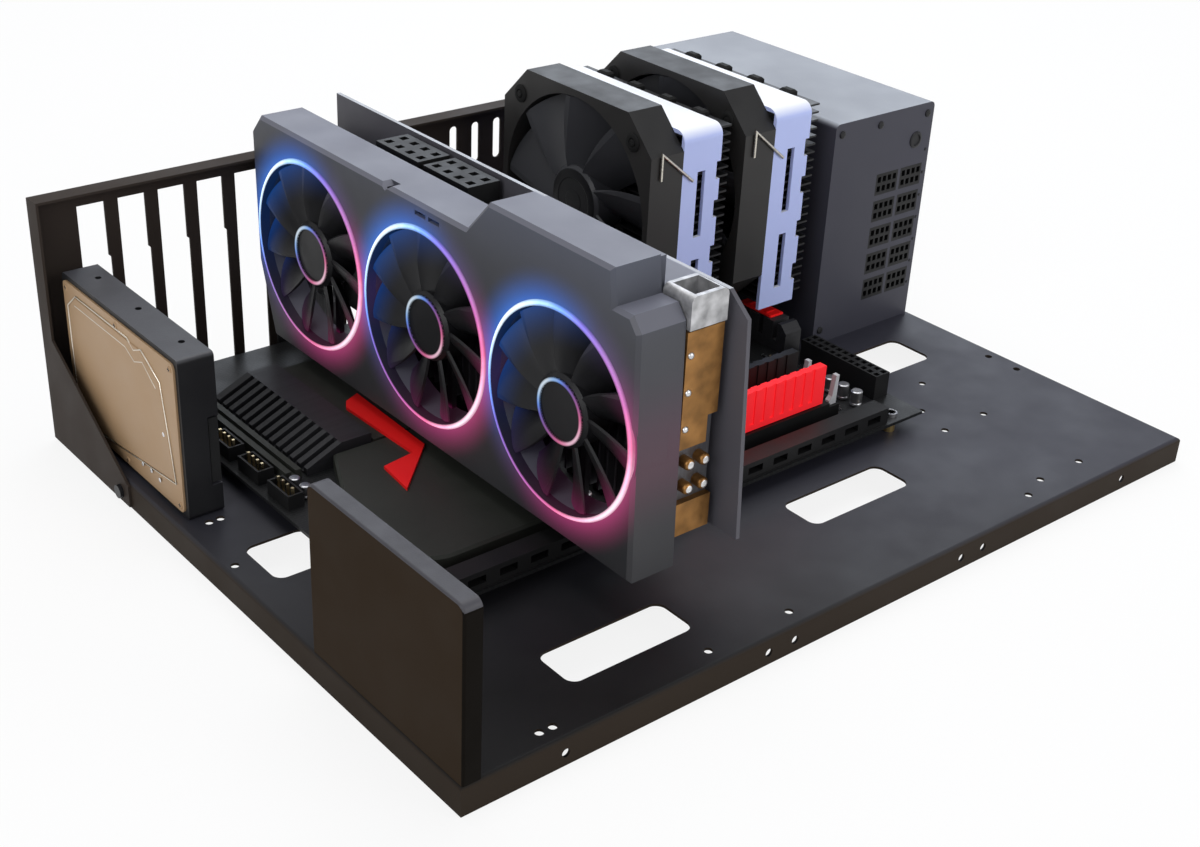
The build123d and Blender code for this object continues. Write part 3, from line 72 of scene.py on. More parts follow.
class Paint:
    """One procedural material: a Principled shader fed by noise in object space."""

    def __init__(self, name, rough, metallic=0.0, specular=0.5):
        self.material = bpy.data.materials.new(name)
        self.material.use_nodes = True
        self.tree = self.material.node_tree
        self.shader = self.tree.nodes["Principled BSDF"]
        self.shader.inputs["Roughness"].default_value = rough
        self.shader.inputs["Metallic"].default_value = metallic
        self.shader.inputs["Specular IOR Level"].default_value = specular
        self.place = self.add("ShaderNodeTexCoord").outputs["Object"]

    def stay(self):
        """Further steps count places in the scene, so that they stay when the piece turns."""
        self.place = self.add("ShaderNodeNewGeometry").outputs["Position"]
        return self

    def add(self, kind):
        return self.tree.nodes.new(kind)

    def link(self, start, end):
        self.tree.links.new(start, end)

    def noise(self, scale, detail=3.0, stretch=(1, 1, 1)):
        """Noise of so many waves per metre, stretched along the axes."""
        mapping = self.add("ShaderNodeMapping")
        mapping.inputs["Scale"].default_value = stretch
        self.link(self.place, mapping.inputs["Vector"])
        node = self.add("ShaderNodeTexNoise")
        node.inputs["Scale"].default_value = scale
        node.inputs["Detail"].default_value = detail
        self.link(mapping.outputs["Vector"], node.inputs["Vector"])
        return node.outputs["Fac"]

    def ramp(self, value, *stops):
        """Colours at places along a value."""
        node = self.add("ShaderNodeValToRGB")
        band = node.color_ramp
        while len(band.elements) < len(stops):
            band.elements.new(0.5)
        for element, (place, color) in zip(band.elements, stops):
            element.position = place
            element.color = (*color, 1.0)
        self.link(value, node.inputs["Fac"])
        return node.outputs["Color"]

    def spread(self, value, low, high, start=NOISE_LOW, end=NOISE_HIGH):
        """Value brought from its own limits to a low and a high limit."""
        node = self.add("ShaderNodeMapRange")
        for socket, number in (("From Min", start), ("From Max", end), ("To Min", low), ("To Max", high)):
            node.inputs[socket].default_value = number
        self.link(value, node.inputs["Value"])
        return node.outputs["Result"]

    def math(self, operation, a, b=None):
        """Sum, product or other step between sockets or numbers."""
        node = self.add("ShaderNodeMath")
        node.operation = operation
        for socket, value in zip(node.inputs, (a, b)):
            if value is None:
                continue
            if isinstance(value, (int, float)):
                socket.default_value = value
            else:
                self.link(value, socket)
        return node.outputs["Value"]

    def vector(self, operation, a, b=None, result="Vector"):
        """Step between vectors; a plain tuple stands for a fixed vector."""
        node = self.add("ShaderNodeVectorMath")
        node.operation = operation
        for socket, value in zip(node.inputs, (a, b)):
            if value is None:
                continue
            if isinstance(value, (tuple, Vector)):
                socket.default_value = value
            else:
                self.link(value, socket)
        return node.outputs[result]

    def part(self, vector, axis):
        """One coordinate of a vector."""
        node = self.add("ShaderNodeSeparateXYZ")
        self.link(vector, node.inputs["Vector"])
        return node.outputs[axis]

    def scaled(self, color, value):
        """Colour times a value."""
        node = self.add("ShaderNodeVectorMath")
        node.operation = "SCALE"
        self.link(color, node.inputs[0])
        self.link(value, node.inputs["Scale"])
        return node.outputs["Vector"]

    def facing(self, axis=Z, start=0.25, end=0.9, low=0.0, high=1.0):
        """How far a face looks along an axis, between two limits."""
        normal = self.add("ShaderNodeNewGeometry").outputs["Normal"]
        return self.spread(self.part(normal, axis), low, high, start, end)

    def blend(self, value, first, second):
        """First colour turning into the second as a value rises."""
        node = self.add("ShaderNodeMix")
        node.data_type = "RGBA"
        self.link(value, node.inputs["Factor"])
        self.link(first, node.inputs["A"])
        self.link(second, node.inputs["B"])
        return node.outputs["Result"]

    def base(self):
        """Socket that feeds the base colour so far."""
        return self.shader.inputs["Base Color"].links[0].from_socket

    def color(self, value):
        self.link(value, self.shader.inputs["Base Color"])
        return self

    def rough(self, value):
        self.link(value, self.shader.inputs["Roughness"])
        return self

    def gloss(self, value):
        self.link(value, self.shader.inputs["Specular IOR Level"])
        return self

    def glow(self, value, strength):
        self.link(value, self.shader.inputs["Emission Color"])
        self.shader.inputs["Emission Strength"].default_value = strength
        return self

    def bump(self, value, strength, depth):
        """Relief on top of what bends the normal already."""
        node = self.add("ShaderNodeBump")
        node.inputs["Strength"].default_value = strength
        node.inputs["Distance"].default_value = depth
        self.link(value, node.inputs["Height"])
        last = self.shader.inputs["Normal"]
        if last.is_linked:
            self.link(last.links[0].from_socket, node.inputs["Normal"])
        self.link(node.outputs["Normal"], last)
        return self


def shade(color, factor):
    return tuple(min(1.0, channel * factor) for channel in color)


def cloudy(paint, value, color, spread):
    """Colour that runs from a darker to a lighter tone along a noise value."""
    return paint.ramp(value, (NOISE_LOW, shade(color, 1 - spread)), (NOISE_HIGH, shade(color, 1 + spread)))


def finish_coat(name, color, rough, spread=0.18, metallic=0.0, grain=1500.0, depth=0.00012, cloud=18.0,
                specular=0.3, top=None, top_specular=None):
    """Sprayed or moulded surface: cloudy tone, uneven gloss and a fine grain; a top tone, where given, is
    painted light and shade on the upward faces.
    """
    paint = Paint(name, rough, metallic, specular)
    tone = paint.noise(cloud, 5.0)
    side = cloudy(paint, tone, color, spread)
    # Painted light and shade: the upward faces take the top tone instead of the coat's own colour.
    if top:
        upper = cloudy(paint, tone, top, spread)
        side = paint.blend(paint.facing(), side, upper)
    paint.color(side)
    if top_specular is not None:
        paint.gloss(paint.facing(low=specular, high=top_specular))
    paint.rough(paint.spread(paint.noise(cloud * 4, 3.0), rough - GLOSS_SPREAD, rough + GLOSS_SPREAD))
    return paint.bump(paint.noise(grain, 2.0), 0.35, depth)


def brushed(name, color, rough, axis, lines=900.0, spread=0.2, metallic=1.0, specular=0.5):
    """Drawn metal whose lines run along one axis."""
    paint = Paint(name, rough, metallic, specular)
    stretch = tuple(LINE_STRETCH if index == axis else 1.0 for index in range(3))
    line = paint.noise(lines, 3.0, stretch)
    paint.color(cloudy(paint, line, color, spread))
    paint.rough(paint.spread(paint.noise(40.0, 4.0), rough - 0.08, rough + 0.1))
    return paint.bump(line, 0.25, 0.00006)


def board_lacquer(name, color, line):
    """Board under black lacquer: fine copper runs show through as raised lines."""
    paint = Paint(name, 0.42, 0.0, 0.25)
    runs = paint.add("ShaderNodeTexBrick")
    runs.inputs["Scale"].default_value = 160.0
    runs.inputs["Mortar Size"].default_value = 0.035
    runs.inputs["Color1"].default_value = (*color, 1)
    runs.inputs["Color2"].default_value = (*shade(color, 1.35), 1)
    runs.inputs["Mortar"].default_value = (*line, 1)
    paint.link(paint.place, runs.inputs["Vector"])
    paint.color(runs.outputs["Color"])
    paint.rough(paint.spread(paint.noise(60.0, 4.0), 0.34, 0.5))
    paint.bump(runs.outputs["Fac"], 0.25, 0.00008)
    return paint.bump(paint.noise(1500.0, 2.0), 0.2, 0.00006)


SHEET = {"grain": 2600.0, "depth": 0.00008, "cloud": 9.0}
BLADE = {"grain": 1400.0, "depth": 0.00006}
MEMORY = {"grain": 2400.0, "depth": 0.00005}

MAT = {
    "bench_sheet": finish_coat("powder_coat_black", (0.036, 0.0275, 0.021), 0.52, 0.06, specular=0.03, **SHEET),
    "screw_steel": brushed("plated_steel", (0.5, 0.5, 0.52), 0.32, Z),
    "brass_post": brushed("turned_brass", (0.72, 0.52, 0.22), 0.3, Z),
    "board_black": board_lacquer("board_lacquer", (0.0075, 0.0078, 0.0085), (0.016, 0.0165, 0.017)),
    "heatsink_dark": brushed("dark_anodised", (0.02, 0.02, 0.0225), 0.45, X, metallic=0.0, specular=0.3),
    "cover_dark": finish_coat("dark_cover", (0.029, 0.031, 0.0265), 0.5, 0.1, grain=1800.0, specular=0.2),
    "trim_red": finish_coat("red_trim_plastic", (0.92, 0.013, 0.013), 0.45, 0.06, grain=1800.0, depth=0.00005),
    "socket_black": finish_coat("socket_plastic", (0.0085, 0.0085, 0.009), 0.48, 0.2, specular=0.22),
    "port_steel": brushed("port_shell", (0.55, 0.55, 0.57), 0.3, Y),
    "lid_nickel": brushed("nickel_lid", (0.65, 0.65, 0.65), 0.3, X),
    "memory_red": finish_coat("memory_anodised", (0.95, 0.02, 0.028), 0.45, 0.06, **MEMORY),
    "memory_black": finish_coat("memory_black", (0.013, 0.0135, 0.0135), 0.42, 0.1, **MEMORY),
    "latch_grey": finish_coat("latch_plastic", (0.5, 0.5, 0.52), 0.45, 0.08),
    "cooler_nickel": brushed("nickel_pipe", (0.62, 0.62, 0.63), 0.22, Z, spread=0.08),
    "fin_dark": brushed("black_fins", (0.017, 0.017, 0.0185), 0.42, Y, metallic=0.3, specular=0.3),
    # Painted light on the white covers: bluish painted sheen on the sides and a lighter painted top.
    "cover_white": finish_coat("white_cover", (0.52, 0.6, 1.0), 0.4, 0.03, grain=1600.0, depth=0.00004,
                               top=(0.84, 0.86, 0.92)),
    # Painted shade: the fan frames' upward faces are darker than their sides.
    "fan_black": finish_coat("fan_plastic", (0.026, 0.025, 0.0245), 0.42, 0.2, top=(0.016, 0.016, 0.017),
                             top_specular=0.2, **BLADE),
    "pad_rubber": finish_coat("pad_rubber", (0.012, 0.012, 0.012), 0.7, 0.2, grain=900.0, specular=0.15),
    "wire_steel": brushed("spring_wire", (0.6, 0.57, 0.5), 0.28, X),
    "card_sink": brushed("plain_fins", (0.11, 0.11, 0.12), 0.42, Z, metallic=0.6),
    "copper": finish_coat("copper_plate", (0.3, 0.15, 0.048), 0.4, 0.35, metallic=0.85, grain=1200.0,
                          cloud=130.0),
    "bright_metal": brushed("bright_aluminium", (0.7, 0.7, 0.71), 0.3, X),
    "backplate_black": finish_coat("backplate_coat", (0.1, 0.097, 0.113), 0.45, 0.06, grain=2200.0,
                                   depth=0.00006, specular=0.2),
    "bracket_steel": brushed("bracket_sheet", (0.32, 0.32, 0.33), 0.38, Z),
    # Painted sheen: the supply's top is painted much lighter and bluer than its sides.
    "psu_grey": finish_coat("supply_coat", (0.058, 0.058, 0.076), 0.45, 0.05, grain=2400.0, depth=0.00008,
                            cloud=8.0, specular=0.2, top=(0.22, 0.235, 0.27), top_specular=0.5),
    "inner_board": finish_coat("inner_board", (0.05, 0.12, 0.05), 0.5, 0.2),
    "inner_parts": finish_coat("inner_parts", (0.12, 0.12, 0.13), 0.45, 0.3),
    "rocker_black": finish_coat("rocker_plastic", (0.012, 0.012, 0.012), 0.32, 0.1),
    # Painted sheen: the drive casting's top is painted lighter than its sides.
    "drive_black": finish_coat("drive_casting", (0.0105, 0.0108, 0.0125), 0.48, 0.15, grain=1200.0,
                               specular=0.25, top=(0.045, 0.045, 0.053), top_specular=0.5),
    "drive_plate": finish_coat("drive_plate", (0.42, 0.275, 0.155), 0.45, 0.05, metallic=0.15, grain=2600.0,
                               depth=0.00004, cloud=12.0),
}

slot_of = {entry["node"]: entry["material_slot"] for entry in frame["record"]["subparts"]}
for name, piece in nodes.items():
    piece.data.materials.clear()
    if slot_of[name] in MAT:
        piece.data.materials.append(MAT[slot_of[name]].material)

# strength of the painted glow that brightens the red memory, which is no lamp
MEMORY_PAINTED_GLOW = 0.28
# Painted light on the tray's top: shade at the front left, a bluish sheen towards the right and the rear.
TRAY_LIGHT_RUN = (0.6, 0.8, 0.0)
TRAY_LIGHT_SPAN = (-0.215, -0.02)
TRAY_LIGHT_TONES = (
    (0.0, (0.004, 0.004, 0.0045)),
    (0.35, (0.016, 0.016, 0.019)),
    (1.0, (0.026, 0.026, 0.038)),
)


def paint_tray_light(paint):
    """Tray's top: painted shade near black at the front left corner, and a painted bluish sheen lighter towards
    the right and the rear.
    """
    along = paint.vector("DOT_PRODUCT", paint.place, TRAY_LIGHT_RUN, "Value")
    run = paint.math("ADD", paint.spread(along, 0.0, 1.0, *TRAY_LIGHT_SPAN),
                     paint.spread(paint.noise(9.0, 5.0), -0.06, 0.06))
    top = paint.ramp(run, *TRAY_LIGHT_TONES)
    paint.color(paint.blend(paint.facing(), paint.base(), top))
    paint.gloss(paint.math("MULTIPLY", paint.facing(low=0.03, high=0.34),
                           paint.spread(run, 0.5, 1.05, 0.0, 0.6)))


def repaint(node, paint):
    nodes[node].data.materials[0] = paint.material


# Painted light: the red memory glows in its own red.
MAT["memory_red"].glow(MAT["memory_red"].base(), MEMORY_PAINTED_GLOW)
repaint("side_panel", finish_coat("side_coat", (0.03, 0.0195, 0.0115), 0.55, 0.06, specular=0.02, **SHEET))
repaint("rear_panel", finish_coat("rear_coat", (0.044, 0.0345, 0.029), 0.52, 0.06, specular=0.05, **SHEET))
# painted shade and sheen on the tray's top
paint_tray_light(MAT["bench_sheet"])


# Lit rings and their glow on the fan cover

ring_low, ring_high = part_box("light_rings")
ring_z = (ring_low[Z] + ring_high[Z]) / 2
ring_r = (ring_high[Z] - ring_low[Z]) / 2
CARD_FANS = (1, 2, 3)
RING_INNER = ring_r - 2.3 * MM
RIM_INNER, RIM_OUTER = 12.3 * MM, 14.5 * MM
HUB_FRONT = 0.3 * MM
GLOW_TILT = math.radians(40)
GLOW_AXIS = Vector((0.0, math.cos(GLOW_TILT), math.sin(GLOW_TILT)))
RING_TONES = (
    (0.0, (1.0, 0.66, 0.8)),
    (0.06, (0.98, 0.42, 0.62)),
    (0.16, (0.8, 0.17, 0.36)),
    (0.32, (0.46, 0.12, 0.36)),
    (0.52, (0.28, 0.12, 0.42)),
    (0.7, (0.18, 0.15, 0.6)),
    (0.82, (0.16, 0.34, 0.98)),
    (0.92, (0.38, 0.62, 1.0)),
    (1.0, (0.75, 0.88, 1.0)),
)
GLOW_TONES = (
    (0.0, (0.62, 0.05, 0.24)),
    (0.2, (0.4, 0.03, 0.18)),
    (0.45, (0.1, 0.03, 0.13)),
    (0.62, (0.06, 0.05, 0.2)),
    (0.8, (0.01, 0.12, 0.6)),
    (0.92, (0.0, 0.17, 0.88)),
    (1.0, (0.01, 0.22, 1.0)),
)
# Painted shade and sheen on the fan cover's sides, by height.
SHROUD_SHADE_TONES = (
    (0.4, (0.048, 0.048, 0.052)),
    (0.8, (0.068, 0.07, 0.081)),
    (1.0, (0.092, 0.099, 0.128)),
)
WHEEL_TONE = (0.0125, 0.0125, 0.014)


def fan_centre(number):
    low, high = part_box(f"card_rotor_{number}")
    return Vector((0.0, (low[Y] + high[Y]) / 2, ring_z))


def ring_frame(paint, centre):
    """Distance from a ring's middle in radii, and where round it a place lies, pink 0 to blue 1."""
    away = paint.vector("SUBTRACT", paint.place, centre)
    flat = paint.vector("MULTIPLY", away, (0.0, 1 / ring_r, 1 / ring_r))
    reach = paint.vector("LENGTH", flat, result="Value")
    turn = paint.vector("DOT_PRODUCT", paint.vector("NORMALIZE", flat), GLOW_AXIS, "Value")
    return reach, paint.spread(turn, 0.0, 1.0, -1.0, 1.0)


def band_light(paint, centre, inner, outer, edge):
    """Colour that runs round a band, full along its middle and fading to a share at both edges."""
    inner, outer = inner / ring_r, outer / ring_r
    reach, turn = ring_frame(paint, centre)
    off = paint.math("ABSOLUTE", paint.math("SUBTRACT", reach, (inner + outer) / 2))
    bright = paint.spread(off, 1.0, edge, (outer - inner) * 0.12, (outer - inner) / 2)
    streak = paint.spread(paint.noise(220.0, 3.0), -0.015, 0.015)
    return paint.scaled(paint.ramp(paint.math("ADD", turn, streak), *RING_TONES), bright)


def ring_light(name, centre):
    """Lit plastic of one ring."""
    paint = Paint(name, 0.35)
    tone = band_light(paint, centre, RING_INNER, ring_r, 0.35)
    return paint.color(tone).glow(tone, 1.05)


def halo(paint, centre, inner, outer, peak):
    """Soft light round one ring, fading inwards and outwards over so many radii."""
    reach, turn = ring_frame(paint, centre)
    gap = paint.math("SUBTRACT", reach, 1.0)
    outside = paint.spread(gap, 1.0, 0.0, 0.0, outer)
    inside = paint.spread(gap, 0.0, 1.0, -inner, 0.0)
    near = paint.math("POWER", paint.math("MULTIPLY", outside, inside), 2.0)
    front = paint.facing(X, -0.9, -0.2, peak, peak * 0.15)
    soft = paint.math("MULTIPLY", near, front)
    return paint.scaled(paint.ramp(turn, *GLOW_TONES), soft)


def with_halos(paint, centres, inner, outer, peak):
    """Adds the halo of each ring to a material."""
    total = None
    for centre in centres:
        light = halo(paint, centre, inner, outer, peak)
        total = light if total is None else paint.vector("ADD", total, light)
    return paint.glow(total, 1.0)


def paint_shroud_shade(paint):
    """Fan cover's sides: painted shade, darker from its crest to its lower edge, with a painted bluish sheen
    near the crest.
    """
    low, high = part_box("card_shroud")
    height = paint.spread(paint.part(paint.place, Z), 0.0, 1.0, low[Z], high[Z])
    side = paint.ramp(height, *SHROUD_SHADE_TONES)
    paint.color(paint.blend(paint.facing(start=0.2, end=0.35), side, paint.base()))


card_fans = [fan_centre(number) for number in CARD_FANS]
# The fan cover's top tone is a painted lighter, bluish sheen on its upward faces.
shroud_paint = finish_coat("shroud_plastic", (0.092, 0.092, 0.102), 0.45, 0.05, grain=2000.0, depth=0.00008,
                           cloud=10.0, specular=0.25, top=(0.165, 0.17, 0.21))
paint_shroud_shade(shroud_paint)
with_halos(shroud_paint, card_fans, 0.12, 0.32, 0.52)
nodes["card_shroud"].data.materials.append(shroud_paint.material)

ring_mesh = nodes["light_rings"].data
for number, centre in zip(CARD_FANS, card_fans):
    ring_mesh.materials.append(ring_light(f"ring_light_{number}", centre).material)
ring_wall = finish_coat("ring_wall", (0.02, 0.02, 0.03), 0.5, 0.15)
with_halos(ring_wall, card_fans, 0.3, 0.3, 0.5)
ring_mesh.materials.append(ring_wall.material)
WALL_INDEX = len(CARD_FANS)
for face in ring_mesh.polygons:
    index = min(range(WALL_INDEX), key=lambda number: abs(face.center.y - card_fans[number].y))
    corners = [ring_mesh.vertices[corner].co for corner in face.vertices]
    reach = max(math.hypot(corner.y - card_fans[index].y, corner.z - ring_z) for corner in corners)
    face.material_index = WALL_INDEX if reach < RING_INNER else index

for number, centre in zip(CARD_FANS, card_fans):
    wheel = nodes[f"card_rotor_{number}"].data
    blades = finish_coat(f"card_wheel_{number}", WHEEL_TONE, 0.42, 0.2, **BLADE)
    with_halos(blades.stay(), [centre], 0.45, 0.3, 0.26)
    hub = finish_coat(f"card_hub_{number}", WHEEL_TONE, 0.42, 0.2, **BLADE)
    hub.glow(band_light(hub.stay(), centre, RIM_INNER, RIM_OUTER, 0.0), 0.75)
    wheel.materials.clear()
    wheel.materials.append(blades.material)
    wheel.materials.append(hub.material)
    wheel_front = min(vertex.co.x for vertex in wheel.vertices)
    for face in wheel.polygons:
        away = math.hypot(face.center.y - centre.y, face.center.z - centre.z)
        if face.center.x < wheel_front + HUB_FRONT and away < RIM_OUTER:
            face.material_index = 1

COOLER_FANS = (1, 2)
# Painted sheen: the blades are a lighter copy of the fan frames' black plastic.
blade_paint = finish_coat("cooler_blades", (0.044, 0.045, 0.051), 0.4, 0.15, **BLADE)
for number in COOLER_FANS:
    repaint(f"cooler_rotor_{number}", blade_paint)


# Faces of the solids that have another finish, and faces with a painted highlight and painted shade


def paint_faces(node, paint, chosen):
    """Gives the faces of a node for which chosen() holds another material."""
    mesh = nodes[node].data
    mesh.materials.append(paint.material)
    last = len(mesh.materials) - 1
    for face in mesh.polygons:
        corners = [mesh.vertices[index].co / MM + ORIGIN for index in face.vertices]
        if chosen(face.normal, corners):
            face.material_index = last


def lowest(corners):
    return min(corner.z for corner in corners)


bare_edge = brushed("bare_edge", (0.3, 0.3, 0.31), 0.45, Y, spread=0.1)
repaint("tail_bracket", finish_coat("tail_metal", (0.46, 0.46, 0.47), 0.45, 0.4, metallic=0.7, grain=900.0,
                                    cloud=170.0))
# Painted highlight along the rounded top edge of the side panel.
painted_edge_highlight = finish_coat("painted_edge_highlight", (0.056, 0.055, 0.064), 0.45, 0.15, grain=1800.0, cloud=60.0)
# Painted shade on the front-facing faces of the side panel.
painted_front_shade = finish_coat("painted_front_shade", (0.006, 0.0047, 0.0035), 0.55, 0.1, specular=0.03)
port_dark = finish_coat("port_inside", (0.01, 0.01, 0.012), 0.5, 0.2)
port_blue = finish_coat("port_tongue", (0.03, 0.07, 0.3), 0.4, 0.1)
pin_gold = brushed("pin_gold", (0.8, 0.66, 0.4), 0.28, Z)

PIN_X = (42.3, 43.7)
PIN_FOOT = 23.4
PORT_DEPTH = 5.0
TONGUE_DEPTH = 1.0
PANEL_ROUND = 6.0
panel_back = limits("rear_panel")[1].y
panel_top = limits("side_panel")[1].z
backplate_top = limits("backplate")[1].z
copper_low = limits("copper_ends")[0]

paint_faces("backplate", bare_edge, lambda normal, corners:
            normal.z > 0.5 and normal.y > -0.9 and lowest(corners) > backplate_top - 0.5)
# painted highlight on the side panel's top edge
paint_faces("side_panel", painted_edge_highlight, lambda normal, corners:
            normal.z > 0.25 and lowest(corners) > panel_top - PANEL_ROUND)
# painted shade on the side panel's front-facing faces
paint_faces("side_panel", painted_front_shade, lambda normal, corners: normal.y < -0.25 and normal.z <= 0.25)
paint_faces("copper_ends", MAT["bright_metal"], lambda normal, corners:
            max(corner.y for corner in corners) < copper_low.y + 0.3)
paint_faces("left_headers", pin_gold, lambda normal, corners:
            all(PIN_X[0] < corner.x < PIN_X[1] and corner.z > PIN_FOOT for corner in corners))
paint_faces("io_ports", port_dark, lambda normal, corners:
            normal.y > 0.9 and corners[0].y < panel_back - PORT_DEPTH)
paint_faces("io_ports", port_blue, lambda normal, corners:
            normal.y > 0.9 and panel_back - PORT_DEPTH <= corners[0].y < panel_back - TONGUE_DEPTH)
paint_faces("card_ports", port_dark, lambda normal, corners:
            normal.y > 0.9 and corners[0].y < panel_back - 0.5)


# Soft edges on the solids, by width in millimetres

EDGE_WIDTH = {
    "base_tray": 0.25,
    "rear_panel": 0.2,
    "side_panel": 0.25,
    "card_shroud": 0.5,
    "backplate": 0.3,
    "psu_case": 0.3,
    "drive_base": 0.4,
    "tower_cover_1": 0.4,
    "tower_cover_2": 0.4,
    "cooler_fan_frame_1": 0.4,
    "cooler_fan_frame_2": 0.4,
    "chipset_heatsink": 0.3,
    "board_covers": 0.4,
    "red_trim": 0.3,
    "memory_module_1": 0.2,
    "memory_module_2": 0.2,
    "vrm_heatsinks": 0.3,
    "board_edge_sockets": 0.25,
    "card_power_socket": 0.25,
    "board_power_sockets": 0.25,
}
for name, width in EDGE_WIDTH.items():
    bevel = nodes[name].modifiers.new("soft_edge", "BEVEL")
    bevel.width = width * MM
    bevel.segments = 2
    bevel.limit_method = "ANGLE"
    bevel.angle_limit = math.radians(35)
    bevel.use_clamp_overlap = True
    bevel.harden_normals = True


# Shapes of small parts; a profile lists radius and height in millimetres


def piece_from(bm, name, paints, body="bench", crease=40.0):
    """Makes a piece of the built mesh and lets it ride on a body."""
    mesh = bpy.data.meshes.new(name)
    bm.to_mesh(mesh)
    bm.free()
    for paint in paints:
        mesh.materials.append(paint.material)
    mesh.polygons.foreach_set("use_smooth", [True] * len(mesh.polygons))
    mesh.set_sharp_from_angle(angle=math.radians(crease))
    piece = bpy.data.objects.new(name, mesh)
    scene.collection.objects.link(piece)
    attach(piece, body)


def tilt(axis):
    """Rotation that brings the upward axis to another one."""
    return Vector(UP).rotation_difference(Vector(axis)).to_matrix()


def turned(bm, place, profile, axis=UP, steps=18, paint=0):
    """Turned part: rings of radius and height from its foot, about an axis at a place."""
    turn = tilt(axis)
    base = at(*place)
    rings = []
    for radius, height in profile:
        ring = []
        for step in range(steps):
            angle = 2 * math.pi * step / steps
            spot = Vector((radius * math.cos(angle), radius * math.sin(angle), height)) * MM
            ring.append(bm.verts.new(base + turn @ spot))
        rings.append(ring)
    faces = [bm.faces.new(reversed(rings[0])), bm.faces.new(rings[-1])]
    for lower, upper in zip(rings, rings[1:]):
        for step in range(steps):
            after = (step + 1) % steps
            faces.append(bm.faces.new((lower[step], lower[after], upper[after], upper[step])))
    for face in faces:
        face.material_index = paint


def flat_face(bm, place, axis, spots, height, paint):
    """Flat face through spots at a height over a place, square to an axis."""
    turn = tilt(axis)
    base = at(*place)
    corners = [bm.verts.new(base + turn @ Vector((x, y, height)) * MM) for x, y in spots]
    bm.faces.new(corners).material_index = paint


def quarter_turn(spots):
    return [(-y, x) for x, y in spots]


def brick(bm, x, y, z, soft=0.15, paint=0):
    """Block with softened edges between limits along each axis."""
    low = at(x[0], y[0], z[0])
    high = at(x[1], y[1], z[1])
    made = bmesh.ops.create_cube(bm, size=1.0)["verts"]
    for vertex in made:
        vertex.co = [low[i] if vertex.co[i] < 0 else high[i] for i in range(3)]
    faces = {face for vertex in made for face in vertex.link_faces}
    for face in faces:
        face.material_index = paint
    if soft:
        edges = list({edge for vertex in made for edge in vertex.link_edges})
        bmesh.ops.bevel(bm, geom=edges, offset=soft * MM, segments=2, affect="EDGES", material=paint)


def span(middle, length):
    return (middle - length / 2, middle + length / 2)


def cross_screw(bm, place, axis, radius, height):
    """Pan head with a rounded rim and, in the second material, a flat cross of painted shade for the recess."""
    rim = min(0.6, radius * 0.3)
    turned(bm, place, ((radius, 0), (radius, height - rim), (radius - 0.3 * rim, height - 0.3 * rim),
                       (radius - rim, height)), axis)
    long, short = radius * 0.62, radius * 0.16
    arm = [(short, long), (-short, long), (-short, short)]
    spots = []
    for _ in range(4):
        spots += arm
        arm = quarter_turn(arm)
    flat_face(bm, place, axis, spots, height + 0.03, 1)


def recess(bm, place, axis, radius):
    """Bright rim and, in the second material, a flat cross of painted shade for the recess, on a screw head of
    the solid model.
    """
    turned(bm, place, ((radius - 0.2, 0.0), (radius - 0.25, 0.12), (radius - 0.9, 0.16), (radius - 1.1, 0.05)),
           axis)
    long, short = radius * 0.55, radius * 0.14
    bar = [(-long, -short), (long, -short), (long, short), (-long, short)]
    flat_face(bm, place, axis, bar, 0.2, 1)
    flat_face(bm, place, axis, quarter_turn(bar), 0.21, 1)


def heads(node):
    """Lowest and highest corner of each separate head in a node of screws, in millimetres."""
    bm = bmesh.new()
    bm.from_mesh(nodes[node].data)
    seen = set()
    found = []
    for start in bm.verts:
        if start in seen:
            continue
        queue = [start]
        island = []
        seen.add(start)
        while queue:
            vertex = queue.pop()
            island.append(vertex.co / MM + ORIGIN)
            for edge in vertex.link_edges:
                other = edge.other_vert(vertex)
                if other not in seen:
                    seen.add(other)
                    queue.append(other)
        low = Vector([min(spot[i] for spot in island) for i in range(3)])
        high = Vector([max(spot[i] for spot in island) for i in range(3)])
        found.append((low, high))
    bm.free()
    return found


# Painted shade in the cross recesses of the screw heads.
painted_recess_shade = finish_coat("screw_recess", (0.01, 0.01, 0.01), 0.6, 0.2)
screw_black = finish_coat("screw_black", (0.02, 0.02, 0.022), 0.4, 0.15, metallic=0.4, grain=900.0)
can_silver = brushed("can_sleeve", (0.55, 0.55, 0.57), 0.32, Z, spread=0.1)
can_dark = finish_coat("can_dark", (0.02, 0.02, 0.022), 0.45, 0.15)
chip_black = finish_coat("chip_mould", (0.011, 0.011, 0.012), 0.55, 0.12, grain=3000.0, specular=0.25)
lead_tin = brushed("tinned_lead", (0.52, 0.52, 0.54), 0.3, Z)
choke_grey = finish_coat("choke_block", (0.05, 0.05, 0.055), 0.5, 0.12, grain=2600.0)
small_tan = finish_coat("small_part", (0.16, 0.12, 0.08), 0.5, 0.2)


# Screw heads of the solids

SINK = 0.1  # how deep the foot of a fitting lies in the solid it sits on
FLAT_HEAD = 2.5
REAR_SIDE = 300.0
GUSSET_REACH = 210.0
HEAD_DROP = 0.25  # keeps a recess inside the box of the solids
BOARD_HEAD_R = GUSSET_HEAD_R = 3.2
BENCH_HEAD_R = 2.8

